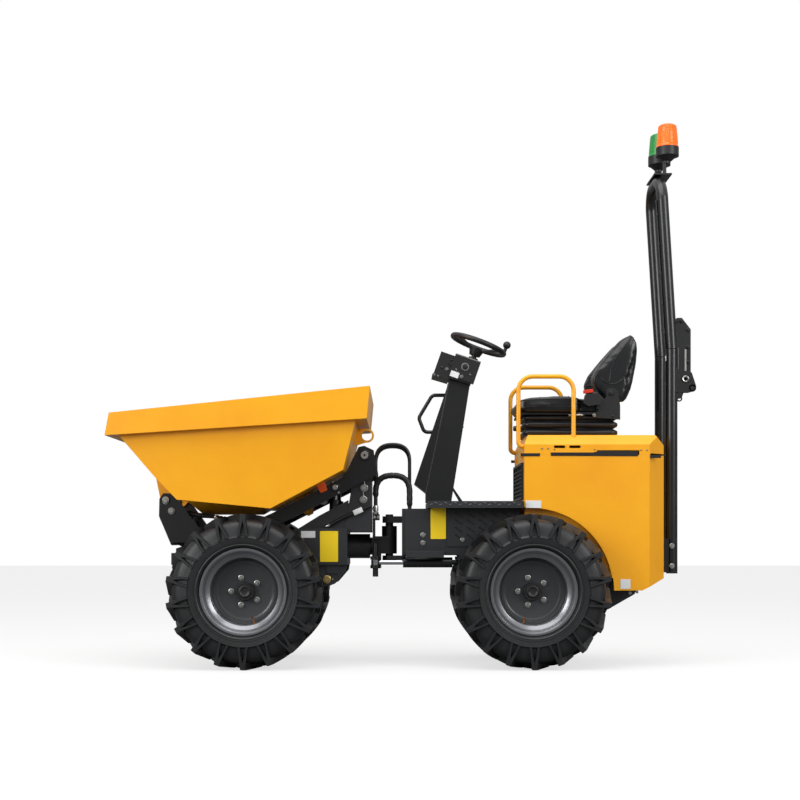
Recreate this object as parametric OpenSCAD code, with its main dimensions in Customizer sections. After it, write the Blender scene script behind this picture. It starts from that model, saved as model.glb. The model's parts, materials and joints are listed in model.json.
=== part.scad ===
// Articulated site dumper with a high-tip skip, parked on its four wheels with the skip down.
// Lengths are in millimetres, +Z is up, and the machine drives toward -X, skip first.
// Stations along X are measured from the articulation pin and moved to the middle at the end.

/* [Layout] */
// distance between the two axles, split evenly by the articulation pin
wheelbase = 1413; // [1405:1:1420]
// distance between the middles of the left and right tyres
track = 736; // [732:1:744]
// half of the frame width at the outer faces of its side plates
frame_half_w = 215; // [210:1:218]
// thickness of the frame's side plates
frame_t = 10; // [8:1:12]

/* [Tyres and rims] */
// outer radius over the tread lugs, also the height of the wheel centres
tyre_r = 380; // [372:1:384]
// tyre width over the sidewalls
tyre_w = 254; // [246:1:256]
// radius of the rim flange
rim_r = 213; // [208:1:218]
// radius of the bead seat under the tyre
seat_r = 196; // [192:1:200]
// width between the rim's outer faces
rim_w = 200; // [192:1:206]
// thickness of the rim's steel
rim_t = 6; // [5:1:8]
// radius of the flat wheel disc
disc_r = 132; // [124:1:138]
// distance from the rim's outer face to the wheel disc
disc_in = 112; // [104:1:118]
// radius of the hub cap
cap_r = 46; // [42:1:50]
// radius of the circle of wheel nuts
nut_circle_r = 70; // [66:1:76]
// number of wheel nuts
nut_count = 5; // [4:1:6]
// height of the tread lugs
lug_h = 26; // [18:1:28]
// number of tread lugs on each side of a tyre
lug_count = 18; // [14:1:20]

/* [Skip] */
// half of the width over the rim band
skip_half_w = 480; // [470:1:490]
// half of the width at the side panels just under the rim band
side_half_w = 440; // [430:1:445]
// thickness of the skip's plates
skip_t = 8; // [6:1:10]
// height of the rim's front top edge
rim_front_z = 1250; // [1240:1:1260]
// height of the rim's rear top edge
rim_rear_z = 1380; // [1370:1:1390]
// lowest height of the belly
belly_z = 766; // [764:1:772]
// outer radius of the lifting eye
eye_r = 36; // [32:1:40]
// radius of the hole in the lifting eye
eye_hole_r = 26; // [22:1:28]

/* [Lift and tip] */
// radius of the pins that carry the lift frame
lift_pin_r = 20; // [18:1:24]
// radius of the pins that carry the skip
tip_pin_r = 18; // [16:1:20]
// outer radius of the lift cylinders
lift_barrel_r = 30; // [26:1:31]
// outer radius of the tip cylinder
tip_barrel_r = 32; // [28:1:33]
// radius of the cylinders' rods
rod_r = 17; // [14:1:19]
// vertical depth of the sloping arms
arm_depth = 75; // [66:1:77]
// thickness of the lift frame's arms
arm_t = 25; // [20:1:26]

/* [Articulation] */
// radius of the articulation pin
centre_pin_r = 20; // [18:1:24]
// outer radius of the barrel around the articulation pin
centre_barrel_r = 39; // [36:1:42]
// radius of the shaft on which the front frame rolls
roll_shaft_r = 45; // [40:1:48]
// outer radius of the steering cylinder
steer_barrel_r = 26; // [22:1:27]
// radius of the hoses over the articulation
hose_r = 9; // [7:0.5:10]

/* [Body and seat] */
// half of the body's width
body_half_w = 300; // [296:1:306]
// thickness of the body panels
panel_t = 6; // [4:1:8]
// height of the seam between body and cover
seam_z = 1055; // [1045:1:1060]
// height of the cover's top
cover_top_z = 1158; // [1150:1:1164]
// gap between the rear tyres and their wheel arches
arch_gap = 32; // [26:1:40]
// half of the deck's width
deck_half_w = 330; // [320:1:340]
// height of the deck's top
deck_z = 826; // [820:1:830]
// gap between the seat and each handrail
seat_side_gap = 13; // [8:1:28]

/* [Roll bar] */
// distance from the middle to each post
post_y = 160; // [150:1:168]
// radius of the roll bar's tube
post_r = 28.5; // [25:0.5:30]
// height where the posts end and the folding hoop begins
hoop_z = 1598; // [1580:1:1610]
// height of the hoop's top
hoop_top_z = 2495; // [2440:1:2520]
// bend radius of the hoop's corners, to the middle of the tube
hoop_bend = 110; // [90:1:120]

/* [Steering wheel] */
// outer radius of the steering wheel
wheel_r = 153; // [140:1:160]
// radius of the wheel's grip
grip_r = 14; // [12:1:16]
// lean of the steering wheel from level
wheel_tilt = 20.5; // [18:0.5:24]

/* [Hidden] */
$fn = 48;

// clearance of seated pieces and of pins in their bores
seat_gap = 0.3;
// least clearance between pieces that move past each other
run_gap = 5;

// tyre radius that the heights of frame, body and skip are drawn for
drawn_tyre_r = 380;
// they rise with the tyre's diameter, and the wheel centres lie at this height below them
body_rise = 2 * (tyre_r - drawn_tyre_r);
hub_z = tyre_r - body_rise;
arch_r = tyre_r + arch_gap;

front_x = -wheelbase / 2;
rear_x = wheelbase / 2;
wheel_y = track / 2;

// stations of the machine's two ends, whose middle is the row's origin
nose_x = -1376;
tail_x = 1552;
mid_x = (nose_x + tail_x) / 2;

// stations of the body's front, of the start of its rear corners and of its rear
body_front_x = 673;
body_side_x = 1295;
body_rear_x = 1380;
corner_y = 220;

// handrail tube, and its place inside the body's side
rail_r = 11;
rail_in = 46;
seat_half_w = body_half_w - rail_in - rail_r - seat_side_gap;

// joints, as [station, height]
lift_pin = [-123, 1059];
tip_pin = [-1121, 835];
lift_base = [-285, 500];
lift_eye = [-271, 898];
tip_base = [-1010, 600];
tip_eye = [-420, 786];
steer_front = [-69, -175];
steer_rear = [360, -175];
steer_z = 520;
roll_z = 602;
fold_pin = [1497, 1447];
wheel_hub = [461, 1644];

// height on the line through p and q
function slope_z(p, q, x) = p[1] + (x - p[0]) * (q[1] - p[1]) / (q[0] - p[0]);

module set_down() {
    translate([-mid_x, 0, body_rise]) children();
}

module pair() {
    children();
    mirror([0, 1, 0]) children();
}

// plate in the side view, from y to y + t
module side_plate(points, y, t) {
    translate([0, y + t, 0]) rotate([90, 0, 0]) linear_extrude(t) polygon(points);
}

// round bar across the machine
module bar_y(p, r, y1, y2, sides = $fn) {
    translate([p[0], y1, p[1]]) rotate([-90, 0, 0]) cylinder(h = y2 - y1, r = r, $fn = sides);
}

function heading(p, q) = atan2(q[1] - p[1], q[0] - p[0]);
function turn_of(a) = a > 180 ? a - 360 : a < -180 ? a + 360 : a;

// turn of a path at its corner i, and the length that its bend takes off each side
function turn_at(path, i) = turn_of(heading(path[i], path[i + 1]) - heading(path[i - 1], path[i]));
function cut_at(path, bends, i) = i == 0 || i == len(path) - 1 ? 0
    : bends[i - 1] * abs(tan(turn_at(path, i) / 2));

// a bend laps over the straights by this angle, and is thicker by this much
bend_lap = 1;
bend_swell = 0.1;

// tube along a flat path in the XY plane, with one bend radius for each corner
module bent_tube(path, r, bends) {
    last = len(path) - 1;
    for (i = [0 : last - 1]) {
        cut = cut_at(path, bends, i);
        translate([path[i][0], path[i][1], 0]) rotate([0, 0, heading(path[i], path[i + 1])])
            translate([cut, 0, 0]) rotate([0, 90, 0])
            cylinder(h = norm(path[i + 1] - path[i]) - cut - cut_at(path, bends, i + 1), r = r);
    }
    for (i = [1 : 1 : last - 1]) {
        d = heading(path[i - 1], path[i]);
        turn = turn_at(path, i);
        side = turn > 0 ? 1 : -1;
        start = path[i] - cut_at(path, bends, i) * [cos(d), sin(d)];
        centre = start + side * bends[i - 1] * [-sin(d), cos(d)];
        translate([centre[0], centre[1], 0])
            rotate([0, 0, (side > 0 ? d - 90 : d + 90 - abs(turn)) - bend_lap])
            rotate_extrude(angle = abs(turn) + 2 * bend_lap) translate([bends[i - 1], 0])
            circle(r = r + bend_swell);
    }
}

// the same tube in the side view, at a given y
module side_tube(path, r, bends, y) {
    translate([0, y, 0]) rotate([90, 0, 0]) bent_tube(path, r, bends);
}

// Wheels

hub_bore_r = 28;
disc_w = rim_w / 2 - disc_in;
tyre_half = tyre_w / 2;

// section of the rim, as [radius, distance toward the outer face]
rim_section = [
    [rim_r, rim_w / 2], [rim_r, rim_w / 2 - rim_t], [seat_r, rim_w / 2 - rim_t],
    [seat_r, rim_w / 2 - 38], [seat_r - 24, rim_w / 2 - 54], [seat_r - 24, -rim_w / 2 + 54],
    [seat_r, -rim_w / 2 + 38], [seat_r, -rim_w / 2 + rim_t], [rim_r, -rim_w / 2 + rim_t],
    [rim_r, -rim_w / 2], [seat_r - rim_t, -rim_w / 2], [seat_r - rim_t, -rim_w / 2 + 41],
    [seat_r - 24 - rim_t, -rim_w / 2 + 56], [seat_r - 24 - rim_t, disc_w - 4],
    [disc_r, disc_w - rim_t], [hub_bore_r + seat_gap, disc_w - rim_t],
    [hub_bore_r + seat_gap, disc_w], [disc_r, disc_w],
    [seat_r - 24 - rim_t, disc_w + 14], [seat_r - 24 - rim_t, rim_w / 2 - 56],
    [seat_r - rim_t, rim_w / 2 - 41], [seat_r - rim_t, rim_w / 2]];

module rim_shape() {
    color("#6b6e72") rotate_extrude($fn = 72) polygon(rim_section);
    color("#2a2b2d") difference() {
        translate([0, 0, disc_w - 40]) cylinder(h = 78, r = cap_r);
        translate([0, 0, disc_w - 41]) cylinder(h = 68, r = hub_bore_r + seat_gap);
    }
    for (i = [0 : nut_count - 1]) {
        rotate([0, 0, 360 / nut_count * i + 54]) translate([nut_circle_r, 0, disc_w - 1])
            cylinder(h = 15, r = 11, $fn = 6);
    }
}

// edge where the tread meets the sidewall, and the inner end of the lugs on the sidewall
tread_edge = 56;
lug_low_r = rim_r + 64;

module tyre_shape() {
    rotate_extrude($fn = 90) polygon([
        [seat_r + seat_gap, rim_w / 2 - rim_t - seat_gap],
        [rim_r + seat_gap, rim_w / 2 - rim_t - seat_gap], [rim_r + 8, rim_w / 2],
        [rim_r + 45, tyre_half - 8], [tyre_r - 75, tyre_half - 12],
        [tyre_r - lug_h, tyre_half - tread_edge], [tyre_r - lug_h, -tyre_half + tread_edge],
        [tyre_r - 75, -tyre_half + 12], [rim_r + 45, -tyre_half + 8],
        [rim_r + 8, -rim_w / 2], [rim_r + seat_gap, -rim_w / 2 + rim_t + seat_gap],
        [seat_r + seat_gap, -rim_w / 2 + rim_t + seat_gap]]);
    for (i = [0 : lug_count - 1]) {
        rotate([0, 0, 360 / lug_count * i]) lug();
        rotate([0, 0, 360 / lug_count * (i + 0.5)]) mirror([0, 0, 1]) lug();
    }
}

// one lug: a bar from its end on the sidewall over the shoulder and across half of the tread
lug_w = 28;
lug_sweep = 70;

module lug() {
    half = (lug_sweep + lug_w) / 2;
    rotate([0, 0, atan(lug_sweep / 2 / tyre_r)]) rotate([0, 90, 0])
        translate([0, 0, lug_low_r])
        linear_extrude(sqrt(tyre_r * tyre_r - half * half) - lug_low_r)
        polygon([[8, half], [8, half - lug_w], [-tyre_half + 3, -half],
            [-tyre_half + 3, lug_w - half]]);
}

// sets a wheel's outer face toward the side it is on: -1 is left, 1 is right
module at_wheel(x, side) {
    translate([x - mid_x, side * wheel_y, tyre_r]) rotate([-90 * side, 0, 0]) children();
}

module front_left_rim() at_wheel(front_x, -1) rim_shape();
module front_right_rim() at_wheel(front_x, 1) rim_shape();
module rear_left_rim() at_wheel(rear_x, -1) rim_shape();
module rear_right_rim() at_wheel(rear_x, 1) rim_shape();
module front_left_tyre() color("#232426") at_wheel(front_x, -1) tyre_shape();
module front_right_tyre() color("#232426") at_wheel(front_x, 1) tyre_shape();
module rear_left_tyre() color("#232426") at_wheel(rear_x, -1) tyre_shape();
module rear_right_tyre() color("#232426") at_wheel(rear_x, 1) tyre_shape();

// Axles

spindle_y = wheel_y + disc_w + 20;
axle_end_y = wheel_y + disc_w - 40 - run_gap;

module axle_shape(x) {
    bar_y([x, hub_z], 48, -axle_end_y + 30, axle_end_y - 30);
    pair() {
        bar_y([x, hub_z], 74, axle_end_y - 30, axle_end_y);
        bar_y([x, hub_z], hub_bore_r, axle_end_y - 1, spindle_y);
    }
    translate([x - 80, -85, hub_z - 72]) cube([160, 170, 144]);
}

module front_axle() {
    color("#1b1c1e") set_down() {
        axle_shape(front_x);
        pair() translate([front_x - 60, 60, hub_z + 40])
            cube([120, 35, chassis_low_z - seat_gap - hub_z - 40]);
    }
}

module rear_axle() {
    color("#1b1c1e") set_down() {
        axle_shape(rear_x);
        pair() side_plate([[rear_x - 70, hub_z], [rear_x + 70, hub_z],
            [rear_x + 90, rail_z - seat_gap], [rear_x - 90, rail_z - seat_gap]],
            frame_half_w - 24, 24);
    }
}

// Rear frame

rail_z = 470;
bulkhead_x = 80;
valve_y = -78;
valve_z = 730;
frame_end_x = body_rear_x - panel_t - seat_gap;
pin_top_z = 756;
pin_low_z = 528;
clamp_x = -84;
clamp_y = -134;
clamp_w = 128;
clamp_z = 765;

module rear_frame() {
    color("#2b2d30") set_down() difference() {
        union() {
            pair() side_plate([[bulkhead_x, 556], [bulkhead_x, deck_z - 35], [650, deck_z - 35],
                [700, 640], [frame_end_x, 640], [frame_end_x, rail_z], [430, rail_z],
                [350, 556]], frame_half_w - frame_t, frame_t);
            translate([bulkhead_x - 15, -frame_half_w + frame_t, 556])
                cube([20, 2 * (frame_half_w - frame_t), deck_z - 35 - 556]);
            // cross members under the engine
            for (x = [engine_x + 40, engine_x + 320]) {
                translate([x, -frame_half_w + frame_t - 1, engine_z - seat_gap - 12])
                    cube([50, 2 * (frame_half_w - frame_t + 1), 12]);
            }
            translate([620, -frame_half_w + frame_t, 500])
                cube([12, 2 * (frame_half_w - frame_t), 120]);
            translate([frame_end_x - 12, -frame_half_w, rail_z])
                cube([12, 2 * frame_half_w, 170]);
            for (z = [[pin_low_z, 25], [pin_top_z - 34, 34]]) {
                translate([0, 0, z[0]]) linear_extrude(z[1]) union() {
                    circle(r = centre_pin_r + 16);
                    translate([0, -centre_pin_r - 16])
                        square([bulkhead_x, 2 * centre_pin_r + 32]);
                }
            }
            translate([0, 0, pin_low_z]) cylinder(h = pin_top_z - pin_low_z + 10, r = centre_pin_r);
            translate([bulkhead_x - 15, -60, pin_low_z]) cube([20, 120, 60]);
            // valve block behind the bulkhead, where the hoses end
            translate([bulkhead_x + 4, valve_y - 45, valve_z - 60]) cube([60, 90, 60]);
            translate([bulkhead_x + 4, valve_y - 25, 600]) cube([30, 50, valve_z - 650]);
            // towing bracket under the tail
            pair() side_plate([[1080, 475], [1300, 475], [1256, 356], [1120, 278], [1090, 278]],
                78, 10);
            side_plate([[1094, 278], [1120, 278], [1256, 356], [1252, 366], [1118, 290],
                [1094, 290]], -80, 160);
            translate([1080, -frame_half_w + 1, rail_z]) cube([230, 2 * frame_half_w - 2, 10]);
            // bracket of the steering cylinder
            translate([steer_rear[0], steer_rear[1], steer_z + 14]) steer_bracket();
            translate([steer_rear[0], steer_rear[1], steer_z - 30]) steer_bracket();
            translate([steer_rear[0] + 34, -frame_half_w, steer_z - 30])
                cube([14, frame_half_w + steer_rear[1] + 30, 72]);
        }
        translate([steer_rear[0], steer_rear[1], steer_z - 40])
            cylinder(h = 80, r = 12 + seat_gap);
    }
}

// one ear of the steering cylinder's rear bracket
module steer_bracket() {
    linear_extrude(16) union() {
        circle(r = 28);
        translate([0, -28]) square([48, 56]);
    }
}

module deck() {
    color("#3a3c3f") {
        set_down() difference() {
            translate([193, -deck_half_w, deck_z - 35]) cube([475, 2 * deck_half_w, 35]);
            translate([199, -deck_half_w + 6, deck_z - 36])
                cube([463, 2 * deck_half_w - 12, 30]);
        }
        side_steps();
    }
}

// the steps end this far ahead of the rear tyres
step_gap = 54;
step_x = rear_x - tyre_r - step_gap;

// steps on both sides of the frame, ahead of the rear tyres
module side_steps() {
    set_down() pair() difference() {
        translate([85, frame_half_w + seat_gap, 546]) cube([step_x - 85, 115, 32]);
        translate([91, frame_half_w + 6, 552]) cube([step_x - 97, 103, 40]);
    }
}

module louvre_guards() {
    color("#2b2d30") set_down() pair() difference() {
        translate([291, frame_half_w + seat_gap, 600]) cube([340, 6, deck_z - 36 - 600]);
        for (i = [0 : 4]) {
            for (k = [0 : 3]) {
                translate([330 + 60 * i, frame_half_w - 1, 770 - 38 * k]) rotate([0, 35, 0])
                    cube([46, 12, 7]);
            }
        }
    }
}

// Body, cover and arches

grille_half_w = 250;
grille_h = 185;

// plan of the body, inset by an even wall
module body_plan(inset) {
    offset(delta = -inset) polygon([[body_front_x, -body_half_w], [body_side_x, -body_half_w],
        [body_rear_x, -corner_y], [body_rear_x, corner_y], [body_side_x, body_half_w],
        [body_front_x, body_half_w]]);
}

cover_hinge = [body_front_x - 6, seam_z + 1];
knuckle_r = 5.7;
hinge_y = 200;

module body_panels() {
    // lower knuckles of the cover's hinges, with their pins
    color("#f6b221") set_down() pair() {
        bar_y(cover_hinge, knuckle_r, hinge_y - 22, hinge_y - 1);
        bar_y(cover_hinge, 3, hinge_y - 10, hinge_y + 21);
        translate([cover_hinge[0], hinge_y - 22, cover_hinge[1] - 20])
            cube([body_front_x - cover_hinge[0] + 1, 21, 19]);
    }
    color("#f6b221") set_down() difference() {
        intersection() {
            translate([0, 0, 300]) linear_extrude(seam_z - 300) body_plan(0);
            side_plate([[body_front_x, 796], [body_front_x, seam_z], [body_rear_x, seam_z],
                [body_rear_x, 441], [1259, 382], [body_front_x, 382]], -400, 800);
        }
        translate([0, 0, 299]) linear_extrude(seam_z) body_plan(panel_t);
        bar_y([rear_x, hub_z + 5], arch_r, -400, 400, 144);
        translate([body_front_x - 1, -grille_half_w, deck_z + 10])
            cube([10, 2 * grille_half_w, grille_h]);
    }
}

module arch_liners() {
    color("#3a2c26") set_down() pair() difference() {
        intersection() {
            bar_y([rear_x, hub_z + 5], arch_r - seat_gap, 232, body_half_w, 144);
            translate([body_front_x + panel_t + 1, 0, hub_z + 64])
                cube([body_side_x - 60 - body_front_x, 400, 500]);
        }
        bar_y([rear_x, hub_z + 5], arch_r - 5, 236, 400, 144);
    }
}

module radiator_grille() {
    color("#1f2022") set_down() {
        difference() {
            translate([body_front_x - 12, -grille_half_w + seat_gap, deck_z + 10 + seat_gap])
                cube([18, 2 * (grille_half_w - seat_gap), grille_h - 2 * seat_gap]);
            translate([body_front_x - 13, -grille_half_w + 12, deck_z + 22])
                cube([20, 2 * grille_half_w - 24, grille_h - 24]);
        }
        for (i = [1 : 7]) {
            translate([body_front_x - 8, -grille_half_w + 10, deck_z + 16 + 20 * i])
                cube([10, 2 * grille_half_w - 20, 6]);
        }
        for (y = [-120, 0, 120]) {
            translate([body_front_x - 10, y - 5, deck_z + 15]) cube([14, 10, grille_h - 10]);
        }
    }
}

engine_x = 800;
engine_z = 490;

module engine() {
    color("#4a4d50") set_down() translate([engine_x, -190, engine_z]) cube([400, 380, 460]);
}

cover_gap = seat_gap;
shoulder = 50;
front_slope = 22;

module engine_cover() {
    color("#f6b221") set_down() {
        difference() {
            cover_shape(0);
            translate([0, 0, -0.01]) cover_shape(panel_t);
            // notches over the seal, two on each side, and the vent slots above them
            for (n = [[804, 232, 12], [1034, 210, 24], [686, 66, 9], [1300, 100, 9]]) {
                translate([n[0], -400, seam_z - 5]) cube([n[1], 800, 5 + n[2]]);
            }
            for (x = [826, 902]) {
                for (k = [0, 44]) bar_y([x + k, 1096], 6.5, -400, 400, 24);
                translate([x, -400, 1096 - 6.5]) cube([44, 800, 13]);
            }
        }
        // upper knuckles of the cover's hinges
        pair() difference() {
            union() {
                bar_y(cover_hinge, knuckle_r, hinge_y, hinge_y + 22);
                translate([cover_hinge[0], hinge_y, cover_hinge[1]])
                    cube([body_front_x - cover_hinge[0] + 1, 22, 20]);
            }
            bar_y(cover_hinge, 3 + seat_gap, hinge_y - 1, hinge_y + 30);
        }
    }
}

// block of the cover, with its sloping shoulders
module cover_shape(inset) {
    low_z = seam_z + cover_gap;
    intersection() {
        translate([0, 0, low_z]) linear_extrude(cover_top_z - low_z - inset) body_plan(inset);
        side_plate([[body_front_x + inset, low_z],
            [body_front_x + inset, cover_top_z - shoulder - inset],
            [body_front_x + front_slope + inset, cover_top_z - inset],
            [body_rear_x - shoulder - inset, cover_top_z - inset],
            [body_rear_x - inset, cover_top_z - shoulder - inset], [body_rear_x - inset, low_z]],
            -400, 800);
        rotate([90, 0, 90]) translate([0, 0, 500]) linear_extrude(1000)
            polygon([[-body_half_w + inset, low_z], [-body_half_w + inset,
                cover_top_z - shoulder - inset], [-body_half_w + shoulder + inset,
                cover_top_z - inset], [body_half_w - shoulder - inset, cover_top_z - inset],
                [body_half_w - inset, cover_top_z - shoulder - inset],
                [body_half_w - inset, low_z]]);
    }
}

// Seat

back_half_w = seat_half_w - 40;
seat_pan_z = cover_top_z + 120;

// block in the side view with its corners rounded
module soft_side(points, r, half) {
    translate([0, half, 0]) rotate([90, 0, 0]) linear_extrude(2 * half)
        offset(r = r) offset(delta = -r) polygon(points);
}

// the same in plan
module soft_plan(points, r, z1, z2) {
    translate([0, 0, z1]) linear_extrude(z2 - z1) offset(r = r) offset(delta = -r)
        polygon(points);
}

module seat_base() {
    color("#18191a") set_down() {
        translate([690, -back_half_w + 20, cover_top_z + seat_gap])
            cube([450, 2 * back_half_w - 40, 8]);
        for (i = [0 : 3]) {
            w = back_half_w - 10 - 10 * (i % 2);
            soft_plan([[676 + 8 * (i % 2), -w], [1160 - 8 * (i % 2), -w],
                [1160 - 8 * (i % 2), w], [676 + 8 * (i % 2), w]], 24,
                cover_top_z + 8 + 25 * i, cover_top_z + 33 + 25 * i);
        }
    }
}

retractor_x = 1020;
retractor_z = 1339;

module seat_frame() {
    color("#151617") set_down() {
        translate([660, -back_half_w, cover_top_z + 108 + seat_gap])
            cube([470, 2 * back_half_w, 12 - seat_gap]);
        // recliner plates
        pair() side_plate([[1040, 1268], [1046, 1250], [1165, 1240], [1165, 1309], [1155, 1382],
            [1135, 1398], [1117, 1400], [1094, 1390], [1094, 1356], [1080, 1322]],
            back_half_w + seat_gap, 8);
        pair() translate([1045, back_half_w - 5, cover_top_z + 108 + seat_gap])
            cube([85, 13 + seat_gap, 12 - seat_gap]);
        // belt retractor on the left plate
        side_plate([[retractor_x - 44, retractor_z - 20], [retractor_x - 34, retractor_z + 24],
            [retractor_x + 30, retractor_z + 32], [retractor_x + 46, retractor_z + 8],
            [retractor_x + 40, retractor_z - 26], [retractor_x - 20, retractor_z - 34]],
            -back_half_w - 44, 43);
        translate([1045, -back_half_w - 9, retractor_z - 45]) cube([55, 8, 50]);
    }
}

module seat_cushion() {
    color("#1d1e1f") set_down() intersection() {
        soft_side([[633, 1312], [641, 1334], [708, 1347], [830, 1355], [903, 1354],
            [970, 1347], [1060, 1335], [1060, seat_pan_z + seat_gap],
            [690, seat_pan_z + seat_gap], [655, seat_pan_z + 8]], 14, seat_half_w + 1);
        soft_plan([[624, -seat_half_w + 30], [684, -seat_half_w], [950, -seat_half_w],
            [966, -back_half_w + 4], [1062, -back_half_w + 8], [1062, back_half_w - 8],
            [966, back_half_w - 4], [950, seat_half_w], [684, seat_half_w],
            [624, seat_half_w - 30]], 14, 1200, 1400);
    }
}

back_points = [[1085, 1345], [1046, 1390], [1030, 1416], [1023, 1450], [1046, 1497],
    [1114, 1578], [1170, 1640], [1212, 1681], [1232, 1672], [1249, 1639], [1254, 1605],
    [1249, 1524], [1239, 1470], [1222, 1403], [1201, 1356], [1181, 1322]];

module backrest() {
    color("#1d1e1f") set_down() difference() {
        soft_side(back_points, 12, back_half_w);
        // the middle of the backrest lies between its wings
        soft_side([[940, 1320], [1095, 1345], [1085, 1400], [1075, 1440], [1082, 1480],
            [1108, 1525], [1155, 1592], [1195, 1652], [1185, 1720], [940, 1720]], 6,
            back_half_w - 80);
    }
}

module handrails() {
    color("#f6b221") set_down() difference() {
        pair() side_tube([[body_front_x + 4, 1100], [647, 1100], [647, 1451],
            [923, 1451], [923, cover_top_z - 20]], rail_r, [24, 72, 72],
            body_half_w - rail_in);
        cover_shape(-seat_gap);
    }
}

// Steering column

module steering_column() {
    color("#1d1e20") set_down() {
        column_block();
        side_plate([[318, 900], [330, 900], [380, deck_z + seat_gap],
            [360, deck_z + seat_gap]], -75, 12);
    }
}

panel_a = [226, 1484];
panel_b = [416, 1427];
function panel_low(x) = slope_z(panel_a, panel_b, x);

module control_panel() {
    color("#232527") set_down() difference() {
        union() {
            side_plate([[266, 1597], [456, 1531], panel_b, panel_a], -105, 210);
            side_plate([[340, 1584], [468, 1540], [430, 1430], [302, 1474]], -113, 40);
            side_plate([[222, 1486], [305, 1461], [302, 1452], [219, 1477]], -105, 210);
            steering_axis() translate([0, 0, -125]) cylinder(h = 53, r = 25);
        }
        steering_axis() translate([0, 0, -118]) cylinder(h = 53, r = 14 + seat_gap);
    }
}

module steering_axis() {
    translate([wheel_hub[0], 0, wheel_hub[1]]) rotate([0, wheel_tilt, 0]) children();
}

module column_block() {
    side_plate([[310, panel_low(310) - seat_gap], [413, panel_low(413) - seat_gap],
        [318, deck_z + seat_gap], [187, deck_z + seat_gap], [187, 875], [128, 922]], -75, 150);
}

module column_handle() {
    color("#17181a") set_down() difference() {
        side_tube([[300, 1383], [222, 1383], [152, 1266], [180, 1192], [235, 1192]], 9.5,
            [28, 28, 28], 0);
        translate([-seat_gap, 0, 0]) column_block();
    }
}

module steering_wheel() {
    color("#151617") set_down() steering_axis() {
            rotate_extrude($fn = 72) translate([wheel_r - grip_r, 0])
                circle(r = grip_r, $fn = 24);
            translate([0, 0, -60]) cylinder(h = 40, r1 = 28, r2 = 42);
            for (a = [90, 210, 330]) {
                rotate([0, 0, a]) translate([20, -14, -34])
                    rotate([0, -15, 0]) cube([wheel_r - grip_r - 20, 28, 8]);
            }
            translate([0, 0, -112]) cylinder(h = 60, r = 14);
            translate([wheel_r - grip_r, 0, 10]) cylinder(h = 40, r = 9);
            translate([wheel_r - grip_r, 0, 50]) sphere(r = 20);
        }
}

// Roll bar

post_x = 1432;
hoop_lean = 3.5;

module rops_base() {
    color("#17181a") set_down() pair() difference() {
        union() {
            translate([post_x, post_y, 464]) cylinder(h = hoop_z - 464, r = post_r);
            translate([body_rear_x + seat_gap, post_y - 35, 470]) cube([30, 70, 170]);
            for (y = [-22, 12]) {
                side_plate([[post_x + 15, 1380], [post_x + 15, 1500], [fold_pin[0] + 32, 1480],
                    [tail_x, 1410], [tail_x - 8, 1388], [tail_x - 34, 1380]], post_y + y, 10);
            }
        }
        bar_y(fold_pin, 10 + seat_gap, 0, 400);
    }
}

module rops_hoop() {
    color("#17181a") set_down() {
        translate([post_x, 0, hoop_z + 3]) rotate([0, -hoop_lean, 0])
            rotate([90, 0, 90]) bent_tube([[-post_y, 0], [-post_y, hoop_top_z - hoop_z - post_r],
                [post_y, hoop_top_z - hoop_z - post_r], [post_y, 0]], post_r, [hoop_bend, hoop_bend]);
        pair() {
            side_plate([[post_x, 1610], [post_x, 1700], [post_x + 25, 1758], [post_x + 50, 1758],
                [fold_pin[0] + 30, 1700], [fold_pin[0] + 30, fold_pin[1]],
                [fold_pin[0] - 30, fold_pin[1]], [fold_pin[0] - 30, 1610]], post_y - 7, 14);
            bar_y(fold_pin, 30, post_y - 7, post_y + 7);
            bar_y(fold_pin, 10, post_y - 30, post_y + 30);
        }
    }
}

module beacon_mounts() {
    color("#26282a") set_down() {
        translate([1352, -115, hoop_top_z + 2.2]) cube([90, 230, 8]);
        for (b = [[1424, -85], [1415, 90]]) {
            translate([b[0] - 15, b[1], hoop_top_z + 7]) cylinder(h = 2587 - hoop_top_z, r = 10);
            translate([b[0] - 4, b[1], 2560]) cylinder(h = 14, r = 17);
            translate([b[0] - 3, b[1], 2573]) cylinder(h = 24, r1 = 24, r2 = 52);
            translate([b[0], b[1], 2596]) cylinder(h = 45, r = 58);
        }
    }
}

module beacon_lens(x, y) {
    set_down() translate([x, y, 2641 + seat_gap]) cylinder(h = 118, r1 = 57, r2 = 48);
}

module amber_lens() color("#f57c14") beacon_lens(1424, -85);
module green_lens() color("#2f8f3a") beacon_lens(1415, 90);

// Articulation

module centre_yoke() {
    color("#1b1c1e") set_down() difference() {
        union() {
            translate([0, 0, 563]) cylinder(h = 143, r = centre_barrel_r);
            translate([-86, -55, 563]) cube([86, 110, 90]);
            // clamp of the hoses
            translate([clamp_x, clamp_y, 640]) cube([34, clamp_w, 12]);
            translate([clamp_x, clamp_y, 640]) cube([12, clamp_w, 125]);
            translate([clamp_x, clamp_y, clamp_z - 30]) cube([34, clamp_w, 30]);

            translate([-250, 0, roll_z]) rotate([0, 90, 0]) cylinder(h = 200, r = roll_shaft_r);
            translate([-250, 0, roll_z]) rotate([0, 90, 0]) cylinder(h = 18, r = roll_shaft_r + 14);
            for (z = [steer_z + 14, steer_z - 30]) {
                translate([steer_front[0], steer_front[1], z]) linear_extrude(16) union() {
                    circle(r = 26);
                    translate([-26, 0]) square([52, 130]);
                }
            }
            translate([-88, -70, 490]) cube([46, 90, 80]);
            translate([steer_front[0], steer_front[1], steer_z + 29]) cylinder(h = 66, r = 12);
            translate([steer_front[0], steer_front[1], steer_z - 72]) cylinder(h = 43, r = 14);
        }
        translate([0, 0, 400]) cylinder(h = 400, r = centre_pin_r + seat_gap);
    }
}

// Front frame

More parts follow.
